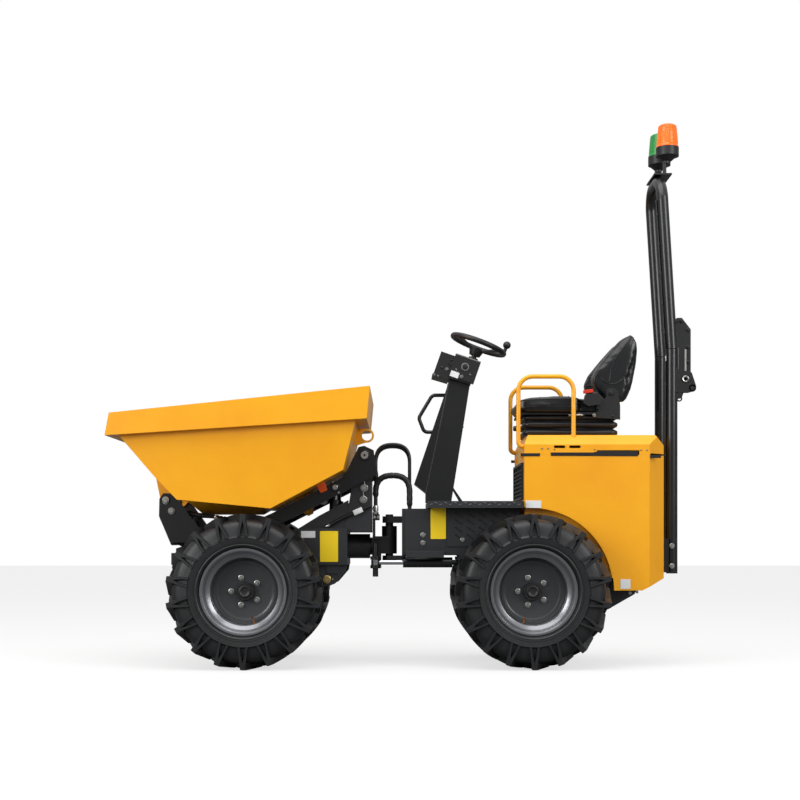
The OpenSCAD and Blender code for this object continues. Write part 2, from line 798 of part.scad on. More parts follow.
box_half_w = 225;
box_low_z = 508;
box_top_z = 693;
box_front_x = -455;
box_rear_x = -210;
chassis_z = 540;
chassis_low_z = hub_z + 74;
tower_y = 170;
tower_t = 20;

module front_frame() {
    color("#2b2d30") set_down() difference() {
        union() {
            pair() {
                translate([box_front_x, box_half_w - 12, box_low_z])
                    cube([box_rear_x - box_front_x, 12, box_top_z - box_low_z]);
                side_plate([[-400, 520], [box_rear_x, 520], [-217, 477], [-271, 414],
                    [-300, 402], [-400, 402]], 196, 12);
                side_plate([[-230, box_top_z - 20], [-215, 740], [-190, 900],
                    [lift_pin[0] - 42, lift_pin[1]], [lift_pin[0] - 24, lift_pin[1] + 34],
                    [lift_pin[0] + 20, lift_pin[1] + 36], [lift_pin[0] + 36, lift_pin[1]],
                    [-91, 1000], [-91, box_top_z - 20]], tower_y, tower_t);
                side_plate([[box_front_x, box_top_z - 20], [box_front_x, box_top_z],
                    [-353, 756], [-205, 835], [-205, box_top_z - 20]], 178, 8);
            }
            translate([box_front_x, -box_half_w, box_low_z])
                cube([12, 2 * box_half_w, box_top_z - box_low_z]);
            translate([box_rear_x - 12, -box_half_w, box_low_z])
                cube([12, 2 * box_half_w, box_top_z - box_low_z]);
            translate([box_front_x, -box_half_w, box_low_z]) cube([100, 2 * box_half_w, 12]);
            translate([-103, -tower_y - 1, box_top_z - 20]) cube([12, 2 * tower_y + 2, 260]);
            translate([box_rear_x - 2, -tower_y - tower_t, box_top_z - 12])
                cube([box_rear_x + 329, 2 * (tower_y + tower_t), 12]);
            translate([box_rear_x - 1, 0, roll_z]) rotate([0, 90, 0])
                cylinder(h = 111, r = roll_shaft_r + 18);
            // chassis over the front axle
            translate([-1085, -105, chassis_low_z])
                cube([box_front_x + 1086, 210, chassis_z - chassis_low_z]);
            pair() side_plate([[-1089, 590], [-1060, 600], [-960, chassis_z - 10],
                [-960, chassis_low_z], [-1060, chassis_low_z], [-1089, 480]], 94, 12);
            translate([-1106, -150, 507]) cube([23, 300, 60]);
            // lugs of the lift cylinders
            pair() for (y = [92, 152]) {
                side_plate([[lift_base[0] - 26, box_low_z - 40], [lift_base[0] + 26,
                    box_low_z - 40], [lift_base[0] + 26, 530], [lift_base[0] - 26, 530]],
                    y, 12);
            }
            pair() bar_y(lift_base, 14, 93, 163);
            translate([lift_base[0] - 30, -180, box_low_z - 44]) cube([60, 360, 12]);
            pair() translate([lift_base[0] - 30, 180, box_low_z - 44])
                cube([60, 34, 60]);
        }
        translate([-300, 0, roll_z]) rotate([0, 90, 0])
            cylinder(h = 300, r = roll_shaft_r + seat_gap);
        pair() bar_y(lift_pin, lift_pin_r + seat_gap, 100, 300);
    }
}

// Lift frame

arm_y = 197;

// lower edge of the sloping arm
arm_a = [-61, 960];
arm_b = [-546, 713];
function arm_low(x) = slope_z(arm_a, arm_b, x);

module lift_frame() {
    color("#1b1c1e") set_down() difference() {
        union() {
            pair() {
                side_plate([[-154, 1100], [-125, 1107], [-77, 1084], [-74, 1056], [-61, 986],
                    arm_a, arm_b, [-729, 620], [-1080, 620], [-1095, 608], [-1156, 753],
                    [-1154, 840], [-1135, 868], [-1100, 868], [-1052, 824], [-960, 696],
                    [-760, 690], [-560, arm_low(-560) + arm_depth],
                    [-240, arm_low(-240) + arm_depth], [-215, 975]], arm_y, arm_t);
                bar_y(lift_pin, lift_pin_r, tower_y - 2, arm_y + arm_t + 10);
                bar_y(tip_pin, tip_pin_r, arm_y - 22, arm_y + arm_t + 8);
                bar_y(lift_eye, 14, 160, arm_y + arm_t + 6);
                side_plate([[lift_eye[0] - 26, lift_eye[1] - 26], [lift_eye[0] + 26,
                    lift_eye[1] - 26], [lift_eye[0] + 26, lift_eye[1] + 26],
                    [lift_eye[0] - 26, lift_eye[1] + 26]], 153, 44);
            }
            bar_y([-352, 848], 28, -arm_y - 5, arm_y + 5);
            side_plate([[-1156, 742], [-1144, 742], [-1083, 612], [-1095, 606]],
                -arm_y - 1, 2 * arm_y + 2);
            for (y = [-36, 24]) {
                side_plate([[-1125, 700], [-1040, 640], [-990, 622], [-982, 600], [-990, 578],
                    [-1030, 578], [-1095, 612]], y, 12);
            }
            bar_y(tip_base, 14, -36, 36);
        }
    }
}

// Skip

rim_points = [[-1355, rim_front_z], [nose_x, 1140], [-106, 1222], [-91, rim_rear_z]];
side_points = [[-1355, 1190], [-1315, 1143], [-1146, 946], [-1035, 830], [-578, 787], [-223, 975],
    [-165, 1201]];
belly_points = [[-1010, 845], [-950, belly_z], [-660, belly_z], [-560, 845]];

skip_front = [[-419, 700], [419, 700], [side_half_w, 1140], [side_half_w, 1600],
    [-side_half_w, 1600], [-side_half_w, 1140]];

// block of the skip, inset by an even wall, which runs on above the rim
module skip_block(inset) {
    intersection() {
        side_plate_inset(concat(side_points, [[-140, 1500], [-1355, 1500]]), inset);
        front_view(skip_front, inset);
    }
    intersection() {
        side_plate_inset(belly_points, inset);
        front_view([[-110, belly_z], [110, belly_z], [400, 840], [-400, 840]], inset);
    }
}

// all panels of the skip as one shell
module skip_shell() {
    difference() {
        union() {
            intersection() {
                skip_block(0);
                side_plate([[nose_x, 700], rim_points[0], rim_points[3], [-60, 700]],
                    -500, 1000);
            }
            side_plate(rim_points, -skip_half_w, 2 * skip_half_w);
        }
        skip_block(skip_t);
    }
}

module side_plate_inset(points, inset) {
    translate([0, 500, 0]) rotate([90, 0, 0]) linear_extrude(1000) offset(delta = -inset)
        polygon(points);
}

// block of a front view, along the whole skip
module front_view(points, inset) {
    translate([-1400, 0, 0]) rotate([90, 0, 90]) linear_extrude(1350) offset(delta = -inset)
        polygon(points);
}

// floor, front and rear of the skip, folded from one plate, between the side panels
module skip() {
    color("#f6b221") set_down() difference() {
        union() {
            intersection() {
                skip_shell();
                front_view(skip_front, skip_t + seat_gap);
            }
            // lifting eye on the rear panel
            side_plate([[-180, 1120], [-180, 1215], [-120, 1208], [-116, 1140]], -8, 16);
            bar_y([-116, 1174], eye_r, -8, 8);
            // ears of the tip pins
            pair() {
                side_plate([[-1185, 990], [-1150, 820], [-1121, 797], [-1092, 812],
                    [-1050, 852]], arm_y - 16, 10);
            }
        }
        pair() bar_y(tip_pin, tip_pin_r + seat_gap, 100, 300);
        bar_y([-116, 1174], eye_hole_r, -20, 20);
        skip_block(skip_t);
    }
}

// lugs of the tip cylinder under the rear slope, with the stubs of its pin
module tip_lugs() {
    color("#f6b221") set_down() difference() {
        pair() {
            side_plate([[-490, 838], [-450, 779], [-420, tip_eye[1] - 28], [-396, 771],
                [-388, 830], [-388, 900]], 22, 12);
            bar_y(tip_eye, 14, 24, 40);
        }
        skip_block(-seat_gap);
    }
}

// side panels of the skip with their stretches of the rim band
module skip_sides() {
    color("#f6b221") set_down() difference() {
        skip_shell();
        front_view(skip_front, skip_t);
    }
}

// Cylinders, each drawn along its own axis from its base pin

// axis of a cylinder in the side view, from its base pin to its rod's eye
module along_side(base, eye, y) {
    translate([base[0], y, base[1]])
        rotate([0, -atan2(eye[1] - base[1], eye[0] - base[0]), 0]) children();
}

module cylinder_barrel(r, base_r, pin_r, from, to, eye_w, bore_r = rod_r) {
    neck_r = min(r * 0.7, eye_w / 2);
    difference() {
        union() {
            rotate([90, 0, 0]) translate([0, 0, -eye_w / 2]) cylinder(h = eye_w, r = base_r);
            translate([base_r - 6, 0, 0]) rotate([0, 90, 0])
                cylinder(h = from - base_r + 8, r = neck_r);
            translate([from, 0, 0]) rotate([0, 90, 0]) cylinder(h = to - from, r = r);
        }
        rotate([90, 0, 0]) translate([0, 0, -50]) cylinder(h = 100, r = pin_r + seat_gap);
        translate([from + 12, 0, 0]) rotate([0, 90, 0]) cylinder(h = to, r = bore_r + seat_gap);
    }
}

module cylinder_rod(len, from, eye_r, pin_r, eye_w, r = rod_r, pin_out = 0) {
    if (pin_out > 0) {
        translate([len, 0, 0]) rotate([90, 0, 0]) translate([0, 0, -eye_w / 2 - pin_out])
            cylinder(h = eye_w + 2 * pin_out, r = pin_r + 1);
    }
    difference() {
        union() {
            translate([from, 0, 0]) rotate([0, 90, 0]) cylinder(h = len - from - eye_r + 6, r = r);
            translate([len, 0, 0]) rotate([90, 0, 0]) translate([0, 0, -eye_w / 2])
                cylinder(h = eye_w, r = eye_r);
        }
        translate([len, 0, 0]) rotate([90, 0, 0]) translate([0, 0, -50])
            cylinder(h = 100, r = pin_r + seat_gap);
    }
}

lift_len = norm(lift_eye - lift_base);
tip_len = norm(tip_eye - tip_base);
steer_len = steer_rear[0] - steer_front[0];
// how far the steering cylinder shortens at full lock, and the radius of its rod
steer_short = 107;
steer_rod_r = 12;
lift_y = 128;

module lift_barrels() {
    color("#1b1c1e") set_down() for (s = [-1, 1]) along_side(lift_base, lift_eye, s * lift_y)
        cylinder_barrel(lift_barrel_r, 24, 14, 40, lift_len - 60, 44);
}

module lift_rods() {
    color("#c9cbce") set_down() for (s = [-1, 1]) along_side(lift_base, lift_eye, s * lift_y)
        cylinder_rod(lift_len, 80, 24, 14, 44, pin_out = 1.5);
}

module tip_barrel() {
    color("#1b1c1e") set_down() along_side(tip_base, tip_eye, 0)
        cylinder_barrel(tip_barrel_r, 24, 14, 50, tip_len - 185, 40);
}

module tip_rod() {
    color("#c9cbce") set_down() along_side(tip_base, tip_eye, 0)
        cylinder_rod(tip_len, 120, 24, 14, 40, pin_out = 1);
}

module steer_barrel() {
    color("#1b1c1e") set_down() translate([steer_rear[0], steer_rear[1], steer_z])
        rotate([0, 0, 180]) rotate([90, 0, 0])
        cylinder_barrel(steer_barrel_r, 22, 12, 40, steer_len - steer_short - 32, 26,
        steer_rod_r);
}

module steer_rod() {
    color("#c9cbce") set_down() translate([steer_rear[0], steer_rear[1], steer_z])
        rotate([0, 0, 180]) rotate([90, 0, 0]) cylinder_rod(steer_len, 60 + steer_short, 22, 10, 26,
        steer_rod_r);
}

// Hoses over the articulation, from the clamp on the yoke

hose_x = clamp_x + 15;
hose_back_x = bulkhead_x + 24;
hose_bend = (hose_back_x - hose_x) / 2 - 3;
hump_x = hose_x - 120;
hump_bend = (hose_x - hump_x) / 2 - 3;

module hoses() {
    color("#141516") set_down() {
        for (h = [[-92, hose_r, 1122], [-66, hose_r, 1112], [-118, hose_r + 2, 962]]) {
            side_tube([[hose_x, clamp_z + seat_gap], [hose_x, h[2]], [hose_back_x, h[2]],
                [hose_back_x, valve_z + seat_gap]], h[1], [hose_bend, hose_bend], h[0]);
        }
    }
}

module tower_hoses() {
    color("#141516") set_down() {
        for (y = [-38, -18]) {
            side_tube([[hose_x, clamp_z + seat_gap], [hose_x, 1018], [hump_x, 1018],
                [hump_x, box_top_z + seat_gap]], hose_r - 2, [hump_bend, hump_bend], y);
        }
    }
}

rear_frame();
rear_axle();
deck();
louvre_guards();
body_panels();
arch_liners();
radiator_grille();
engine();
steering_column();
control_panel();
column_handle();
steering_wheel();
rops_base();
rops_hoop();
beacon_mounts();
amber_lens();
green_lens();
engine_cover();
seat_base();
seat_frame();
seat_cushion();
backrest();
handrails();
centre_yoke();
front_frame();
front_axle();
lift_frame();
skip();
skip_sides();
tip_lugs();
lift_barrels();
lift_rods();
tip_barrel();
tip_rod();
steer_barrel();
steer_rod();
front_left_rim();
front_left_tyre();
front_right_rim();
front_right_tyre();
rear_left_rim();
rear_left_tyre();
rear_right_rim();
rear_right_tyre();
hoses();
tower_hoses();
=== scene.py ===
import json
import math

import bpy
import bmesh
from mathutils import Matrix, Vector


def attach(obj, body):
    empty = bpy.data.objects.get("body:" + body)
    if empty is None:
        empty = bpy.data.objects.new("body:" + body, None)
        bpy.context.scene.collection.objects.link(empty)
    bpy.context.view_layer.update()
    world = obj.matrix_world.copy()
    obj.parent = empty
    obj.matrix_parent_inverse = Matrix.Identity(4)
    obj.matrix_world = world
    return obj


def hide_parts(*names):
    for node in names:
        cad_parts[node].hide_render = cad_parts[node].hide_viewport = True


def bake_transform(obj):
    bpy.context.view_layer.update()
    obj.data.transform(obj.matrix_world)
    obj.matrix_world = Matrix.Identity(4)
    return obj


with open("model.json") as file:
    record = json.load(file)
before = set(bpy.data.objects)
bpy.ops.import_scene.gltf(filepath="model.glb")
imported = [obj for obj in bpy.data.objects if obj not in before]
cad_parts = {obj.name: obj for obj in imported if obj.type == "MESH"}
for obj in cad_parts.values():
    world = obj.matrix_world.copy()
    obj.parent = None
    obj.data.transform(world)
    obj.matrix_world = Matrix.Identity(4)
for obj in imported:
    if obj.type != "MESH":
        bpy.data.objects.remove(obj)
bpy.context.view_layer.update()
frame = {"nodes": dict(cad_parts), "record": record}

scene = bpy.context.scene
scene.view_settings.view_transform = "Standard"
print("stage: frame loaded")


# Shader maths

class Wire:
    def __init__(self, sheet, socket):
        self.sheet = sheet
        self.socket = socket

    def maths(self, operation, first, second):
        return self.sheet.node("ShaderNodeMath", {"operation": operation}, {0: first, 1: second})

    def __add__(self, other):
        return self.maths("ADD", self, other)

    def __radd__(self, other):
        return self.maths("ADD", other, self)

    def __mul__(self, other):
        return self.maths("MULTIPLY", self, other)

    def __rmul__(self, other):
        return self.maths("MULTIPLY", other, self)


class Finish:
    def __init__(self, name):
        self.material = bpy.data.materials.new(name)
        self.material.use_nodes = True
        self.tree = self.material.node_tree
        self.shader = self.tree.nodes["Principled BSDF"]

    # one way to any node: its settings first, then the values or wires of its sockets
    def node(self, kind, settings=None, values=None, out=0):
        made = self.tree.nodes.new(kind)
        for key, value in (settings or {}).items():
            setattr(made, key, value)
        for key, value in (values or {}).items():
            self.feed(made.inputs[key], value)
        return Wire(self, made.outputs[out])

    def feed(self, socket, value):
        if isinstance(value, Wire):
            self.tree.links.new(value.socket, socket)
        else:
            socket.default_value = value

    def set(self, **values):
        for key, value in values.items():
            self.feed(self.shader.inputs[key.replace("_", " ")], value)
        return self

    def place(self):
        return self.node("ShaderNodeTexCoord", out="Object")

    def clouds(self, scale, detail=4, roughness=0.55):
        return self.node("ShaderNodeTexNoise", {}, {
            "Vector": self.place(), "Scale": scale, "Detail": detail, "Roughness": roughness})

    def mix(self, factor, first, second):
        made = self.tree.nodes.new("ShaderNodeMix")
        made.data_type = "RGBA"
        self.feed(made.inputs[0], factor)
        self.feed(made.inputs[6], first)
        self.feed(made.inputs[7], second)
        return Wire(self, made.outputs[2])

    def ramp(self, value, low, high):
        return self.node("ShaderNodeMapRange", {"clamp": True}, {
            "Value": value, "From Min": low, "From Max": high})

    # rounds the look of a sharp edge by this radius
    def softEdge(self, radius):
        return self.node("ShaderNodeBevel", {"samples": 4}, {"Radius": radius})

    def bump(self, height, strength, distance, normal=None):
        values = {"Height": height, "Strength": strength, "Distance": distance}
        if normal is not None:
            values["Normal"] = normal
        return self.node("ShaderNodeBump", {}, values)


def rgb(r, g, b):
    def linear(c):
        c = c / 255
        return c / 12.92 if c <= 0.04045 else ((c + 0.055) / 1.055) ** 2.4
    return (linear(r), linear(g), linear(b), 1)


def darker(colour, by):
    return tuple(min(1.0, c * by) for c in colour[:3]) + (1,)


# Paints and other finishes

paintLook = {
    "yellow": rgb(252, 177, 16),
    "yellowShade": rgb(245, 164, 10),
    "black": rgb(18, 19, 21),
    "grey": rgb(44, 45, 48),
    "rim": rgb(134, 136, 140),
    "signYellow": rgb(250, 214, 20),
    "signWhite": rgb(226, 228, 228),
    "edge": 0.0016,
}


def enamel(name, colour, dull, rough, coat=0.0, metallic=0.0):
    paint = Finish(name)
    patches = paint.clouds(3.5)
    orangePeel = paint.clouds(420, 2)
    paint.set(Base_Color=paint.mix(paint.ramp(patches, 0.35, 0.75), colour, dull),
              Roughness=rough + 0.08 * paint.clouds(12), Metallic=metallic,
              Normal=paint.bump(orangePeel, 0.05, 0.0006, paint.softEdge(paintLook["edge"])),
              Coat_Weight=coat, Coat_Roughness=0.12)
    return paint.material


def rubber(name, colour, scale, depth, rough=0.5):
    mix = Finish(name)
    mix.set(Base_Color=mix.mix(mix.ramp(mix.clouds(9), 0.4, 0.7), colour, darker(colour, 1.5)),
            Roughness=rough + 0.12 * mix.clouds(25),
            Normal=mix.bump(mix.clouds(scale, 3), depth, 0.0008))
    return mix.material


def metal(name, colour, rough):
    made = Finish(name)
    made.set(Base_Color=colour, Metallic=1.0, Roughness=rough + 0.1 * made.clouds(40))
    return made.material


def plastic(name, colour, rough, grain=0.15, scale=500):
    made = Finish(name)
    made.set(Base_Color=colour, Roughness=rough + 0.06 * made.clouds(30),
             Normal=made.bump(made.clouds(scale, 2), grain, 0.0005,
                              made.softEdge(paintLook["edge"])))
    return made.material


def lens(name, colour, glow):
    made = Finish(name)
    made.set(Base_Color=colour, Roughness=0.12, Emission_Color=colour, Emission_Strength=glow,
             Transmission_Weight=0.25)
    return made.material


yellowPaint = enamel("yellow enamel", paintLook["yellow"], paintLook["yellowShade"], 0.34,
                     coat=0.25)
blackPaint = enamel("black enamel", paintLook["black"], darker(paintLook["black"], 0.7), 0.3,
                    coat=0.25)
greyPaint = enamel("dark grey enamel", paintLook["grey"], darker(paintLook["grey"], 0.75), 0.36)
rimPaint = enamel("rim lacquer", paintLook["rim"], darker(paintLook["rim"], 0.85), 0.26,
                  coat=0.4, metallic=0.75)
discPaint = enamel("wheel disc lacquer", rgb(56, 58, 61), rgb(46, 48, 50), 0.32, coat=0.2)
castIron = enamel("engine paint", rgb(70, 72, 74), rgb(52, 53, 54), 0.5)
tyreRubber = rubber("tyre rubber", rgb(25, 26, 28), 260, 0.25, 0.38)
hoseRubber = rubber("hose rubber", rgb(20, 20, 21), 600, 0.1, 0.3)
sealRubber = rubber("seal rubber", rgb(18, 18, 19), 400, 0.1, 0.4)
chrome = metal("plated rod", rgb(214, 216, 219), 0.1)
zinc = metal("zinc plate", rgb(196, 196, 192), 0.25)
goldZinc = metal("yellow zinc plate", rgb(214, 188, 120), 0.28)
copper = metal("copper", rgb(206, 132, 84), 0.3)
blackPlastic = plastic("black plastic", rgb(26, 26, 28), 0.38)
greyPlastic = plastic("grey plastic", rgb(96, 97, 99), 0.45)
seatVinyl = plastic("seat vinyl", rgb(21, 22, 24), 0.26, 0.35, 260)
orangePaint = enamel("orange enamel", rgb(236, 92, 22), rgb(226, 82, 18), 0.35)
redPlastic = plastic("red plastic", rgb(214, 52, 26), 0.35)
bluePlastic = plastic("blue plastic", rgb(24, 92, 180), 0.35)
signYellow = enamel("plate yellow", paintLook["signYellow"], paintLook["signYellow"], 0.4)
signWhite = enamel("label white", paintLook["signWhite"], paintLook["signWhite"], 0.45)
amberLens = lens("amber lens", rgb(252, 112, 10), 0.35)
greenLens = lens("green lens", rgb(46, 150, 70), 0.1)

finishOf = {
    "yellow_paint": yellowPaint, "black_paint": blackPaint, "grey_paint": greyPaint,
    "rim_paint": rimPaint, "tyre_rubber": tyreRubber, "hose_rubber": hoseRubber,
    "rod_chrome": chrome, "engine_iron": castIron, "seat_vinyl": seatVinyl,
    "black_plastic": blackPlastic, "amber_lens": amberLens, "green_lens": greenLens,
}

for part in frame["record"]["subparts"]:
    node = frame["nodes"][part["node"]]
    node.data.materials.clear()
    node.data.materials.append(finishOf[part["material_slot"]])
print("stage: finishes set")


# Camera, floor and light

photo = {"distance": 7.315, "height": 0.623, "side": -0.033, "lens": 63.54,
         "rise": 0.1775}

cameraData = bpy.data.cameras.new("camera")
camera = bpy.data.objects.new("camera", cameraData)
scene.collection.objects.link(camera)
camera.location = (photo["side"], -photo["distance"], photo["height"])
camera.rotation_euler = (math.radians(90), 0, 0)
cameraData.sensor_width = 36
cameraData.lens = photo["lens"]
cameraData.shift_y = photo["rise"]
scene.camera = camera

light = {"worldLow": 0.16, "worldHigh": 0.85, "floorGlow": 0.66, "floorTone": 0.86,
         "floorBounce": 0.14}


def buildFloor():
    bpy.ops.mesh.primitive_plane_add(size=60, location=(0, 0, -0.0005))
    floor = bpy.context.object
    floor.name = "floor"
    tone = Finish("floor paper")
    glow = tone.node("ShaderNodeEmission", {}, {"Color": (1, 1, 1, 1), "Strength": 1.0})
    ray = tone.node("ShaderNodeLightPath", out="Is Camera Ray")
    # the floor gives less light back to the machine than it shows to the camera
    tone.set(Base_Color=tone.mix(ray, (light["floorBounce"],) * 3 + (1,),
                                 (light["floorTone"],) * 3 + (1,)), Roughness=0.9)
    blend = tone.node("ShaderNodeMixShader", {}, {
        0: ray * light["floorGlow"], 1: Wire(tone, tone.shader.outputs[0]), 2: glow})
    tone.feed(tone.tree.nodes["Material Output"].inputs[0], blend)
    floor.data.materials.append(tone.material)


def buildWorld():
    world = bpy.data.worlds.new("studio")
    scene.world = world
    world.use_nodes = True
    tree = world.node_tree
    tree.nodes.clear()
    dim = tree.nodes.new("ShaderNodeBackground")
    dim.inputs["Color"].default_value = (1, 1, 1, 1)
    # dark at the horizon and bright overhead, so black paint stays black
    place = tree.nodes.new("ShaderNodeTexCoord")
    split = tree.nodes.new("ShaderNodeSeparateXYZ")
    rise = tree.nodes.new("ShaderNodeMapRange")
    for name, value in (("From Min", -0.05), ("From Max", 0.75), ("To Min", light["worldLow"]),
                        ("To Max", light["worldHigh"])):
        rise.inputs[name].default_value = value
    tree.links.new(place.outputs["Generated"], split.inputs[0])
    tree.links.new(split.outputs["Z"], rise.inputs["Value"])
    tree.links.new(rise.outputs[0], dim.inputs["Strength"])
    white = tree.nodes.new("ShaderNodeBackground")
    white.inputs["Color"].default_value = (1, 1, 1, 1)
    ray = tree.nodes.new("ShaderNodeLightPath")
    blend = tree.nodes.new("ShaderNodeMixShader")
    out = tree.nodes.new("ShaderNodeOutputWorld")
    tree.links.new(ray.outputs["Is Camera Ray"], blend.inputs[0])
    tree.links.new(dim.outputs[0], blend.inputs[1])
    tree.links.new(white.outputs[0], blend.inputs[2])
    tree.links.new(blend.outputs[0], out.inputs[0])


def softbox(name, place, target, size, power):
    lampData = bpy.data.lights.new(name, "AREA")
    lampData.shape = "RECTANGLE"
    lampData.size, lampData.size_y = size
    lampData.energy = power
    lamp = bpy.data.objects.new(name, lampData)
    scene.collection.objects.link(lamp)
    lamp.location = place
    lamp.rotation_euler = (Vector(target) - Vector(place)).to_track_quat("-Z", "Y").to_euler()


buildFloor()
buildWorld()
softbox("top box", (-0.5, -1.8, 5.2), (0, 0, 0.8), (5, 4), 150)
softbox("left box", (-5.0, -4.8, 2.8), (0, 0, 0.8), (3, 3), 190)
softbox("right box", (4.8, -4.6, 3.2), (0.3, 0, 0.8), (2.5, 3), 150)
print("stage: camera, floor and light")


# Shapes

stationShift = 0.088


# a point given by its station from the articulation pin, its depth and its height, in mm
def spot(x, y, z):
    return Vector((x / 1000 - stationShift, y / 1000, z / 1000))


# local axes whose Z points along aim, and whose X lies along level as well as it can
def axesAt(place, aim=(0, 0, 1), level=(1, 0, 0)):
    z = Vector(aim).normalized()
    x = Vector(level) - Vector(level).dot(z) * z
    if x.length < 1e-6:
        x = Vector((0, 0, 1)) - z.z * z
    x.normalize()
    y = z.cross(x)
    turn = Matrix((x, y, z)).transposed().to_4x4()
    turn.translation = place
    return turn


# a place on the left side, or its mirror image on the right for side 1
def onSide(place, side):
    return Vector((place.x, -side * place.y, place.z))


def hexagon(radius, turn=0.0):
    return [(radius * math.cos(turn + math.pi * k / 3), radius * math.sin(turn + math.pi * k / 3))
            for k in range(6)]


def inset(outline, by):
    count = len(outline)
    made = []
    area = sum(outline[i][0] * outline[(i + 1) % count][1]
               - outline[(i + 1) % count][0] * outline[i][1] for i in range(count))
    sign = 1 if area > 0 else -1
    for i in range(count):
        a, b, c = (Vector(outline[j % count][:2]) for j in (i - 1, i, i + 1))
        first, second = (b - a).normalized(), (c - b).normalized()
        n1 = Vector((-first.y, first.x)) * sign
        n2 = Vector((-second.y, second.x)) * sign
        middle = n1 + n2
        scale = by / max(0.35, middle.dot(n1))
        made.append((b.x + middle.x * scale, b.y + middle.y * scale))
    return made


# rounds the corners of a path or of a closed outline, all points in the same unit
def rounded(points, bend, steps=4, closed=False):
    points = [Vector(p) for p in points]
    count = len(points)
    made = []
    for i, p in enumerate(points):
        if not closed and i in (0, count - 1):
            made.append(p)
            continue
        a, c = points[i - 1], points[(i + 1) % count]
        back, on = a - p, c - p
        angle = back.angle(on)
        cut = min(bend / math.tan(angle / 2) if angle > 0.01 else 0,
                  0.49 * back.length, 0.49 * on.length)
        if cut < 1e-9:
            made.append(p)
            continue
        start, end = p + back.normalized() * cut, p + on.normalized() * cut
        for k in range(steps + 1):
            t = k / steps
            made.append(start * (1 - t) ** 2 + p * 2 * t * (1 - t) + end * t ** 2)
    return made


# the same path with more points, about one step apart
def finer(path, step):
    made = []
    for a, b in zip(path, path[1:]):
        count = max(1, int((b - a).length / step))
        made += [a.lerp(b, k / count) for k in range(count)]
    return made + [path[-1]]


class Mould:
    def __init__(self, name, body, *finishes):
        self.name = name
        self.body = body
        self.finishes = finishes
        self.mesh = bmesh.new()
        self.slot = 0
        self.axes = Matrix.Identity(4)

    def at(self, axes, slot=None):
        self.axes = axes
        if slot is not None:
            self.slot = slot
        return self

    # walls between neighbouring rings of points, capped at both ends or closed into a loop
    def skin(self, rings, loop=False):
        rows = [[self.mesh.verts.new(self.axes @ Vector(p)) for p in ring] for ring in rings]
        faces = []
        count = len(rows)
        for i in range(count if loop else count - 1):
            low, high = rows[i], rows[(i + 1) % count]
            for j in range(len(low)):
                k = (j + 1) % len(low)
                faces.append([low[j], low[k], high[k], high[j]])
        if not loop:
            faces += [rows[0][::-1], rows[-1]]
        for corners in faces:
            self.mesh.faces.new(corners).material_index = self.slot
        return self

    # a closed section of radius and height, turned once round the local Z
    def hoop(self, section, steps):
        rings = []
        for i in range(steps):
            a = 2 * math.pi * i / steps
            rings.append([(r * math.cos(a), r * math.sin(a), z) for r, z in section])
        return self.skin(rings, loop=True)

    # a turned solid, from its foot to its top
    def lathe(self, profile, steps=24):
        return self.skin([[(r * math.cos(2 * math.pi * i / steps),
                            r * math.sin(2 * math.pi * i / steps), z)
                           for i in range(steps)] for r, z in profile])

    # an outline in the local XY plane, pushed from low to high, with both rims eased
    def prism(self, outline, low, high, ease=0.0):
        if ease:
            small = inset(outline, ease)
            rings = [(small, low), (outline, low + ease), (outline, high - ease), (small, high)]
        else:
            rings = [(outline, low), (outline, high)]
        return self.skin([[(p[0], p[1], z) for p in ring] for ring, z in rings])

    def block(self, low, high, ease=0.001):
        (x1, y1, z1), (x2, y2, z2) = low, high
        e = ease
        outline = [(x1 + e, y1), (x2 - e, y1), (x2, y1 + e), (x2, y2 - e),
                   (x2 - e, y2), (x1 + e, y2), (x1, y2 - e), (x1, y1 + e)]
        return self.prism(outline, z1, z2, ease)

    # a round bar along the points, whose radius may change from point to point
    def tube(self, points, radius, steps=12):
        points = [Vector(p) for p in points]
        radii = radius if isinstance(radius, (list, tuple)) else [radius] * len(points)
        rings = []
        across = None
        for i, p in enumerate(points):
            before = points[max(0, i - 1)]
            after = points[min(len(points) - 1, i + 1)]
            along = (after - before).normalized()
            if across is None:
                across = along.orthogonal().normalized()
            across = (across - across.dot(along) * along).normalized()
            other = along.cross(across)
            rings.append([p + radii[i] * (math.cos(2 * math.pi * k / steps) * across
                                          + math.sin(2 * math.pi * k / steps) * other)
                          for k in range(steps)])
        return self.skin(rings)

    # hexagon head on a washer, whose size is the distance across the flats
    def bolt(self, size, turn=0.0):
        self.lathe([(size * 0.78, 0), (size * 0.78, size * 0.12), (size * 0.72, size * 0.16)], 18)
        return self.skin([[(x, y, z * size) for x, y in hexagon(r * size, turn)]
                          for r, z in ((0.577, 0.14), (0.577, 0.6), (0.5, 0.7))])

    def capScrew(self, size):
        return self.lathe([(size * 0.5, 0), (size * 0.5, size * 0.42), (size * 0.44, size * 0.5),
                           (size * 0.24, size * 0.5), (size * 0.24, size * 0.25)], 18)

    def done(self, smooth=32):
        bmesh.ops.recalc_face_normals(self.mesh, faces=self.mesh.faces[:])
        data = bpy.data.meshes.new(self.name)
        self.mesh.to_mesh(data)
        self.mesh.free()
        for finish in self.finishes:
            data.materials.append(finish)
        data.shade_smooth()
        data.set_sharp_from_angle(angle=math.radians(smooth))
        piece = bpy.data.objects.new(self.name, data)
        scene.collection.objects.link(piece)
        if self.body:
            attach(piece, self.body)
        return piece


# Wheels

wheel = {
    "radius": 0.380, "flange": 0.213, "bead": 0.196, "rimHalf": 0.100,
    "lugs": 18, "lugWidth": 0.028, "sweep": 0.070,
    "ribLow": 0.267, "ribOpen": 0.027, "ribArm": 0.0145, "ribTip": 0.0125,
    "discIn": 0.112, "nutCircle": 0.070, "nuts": 5, "cap": 0.046,
}
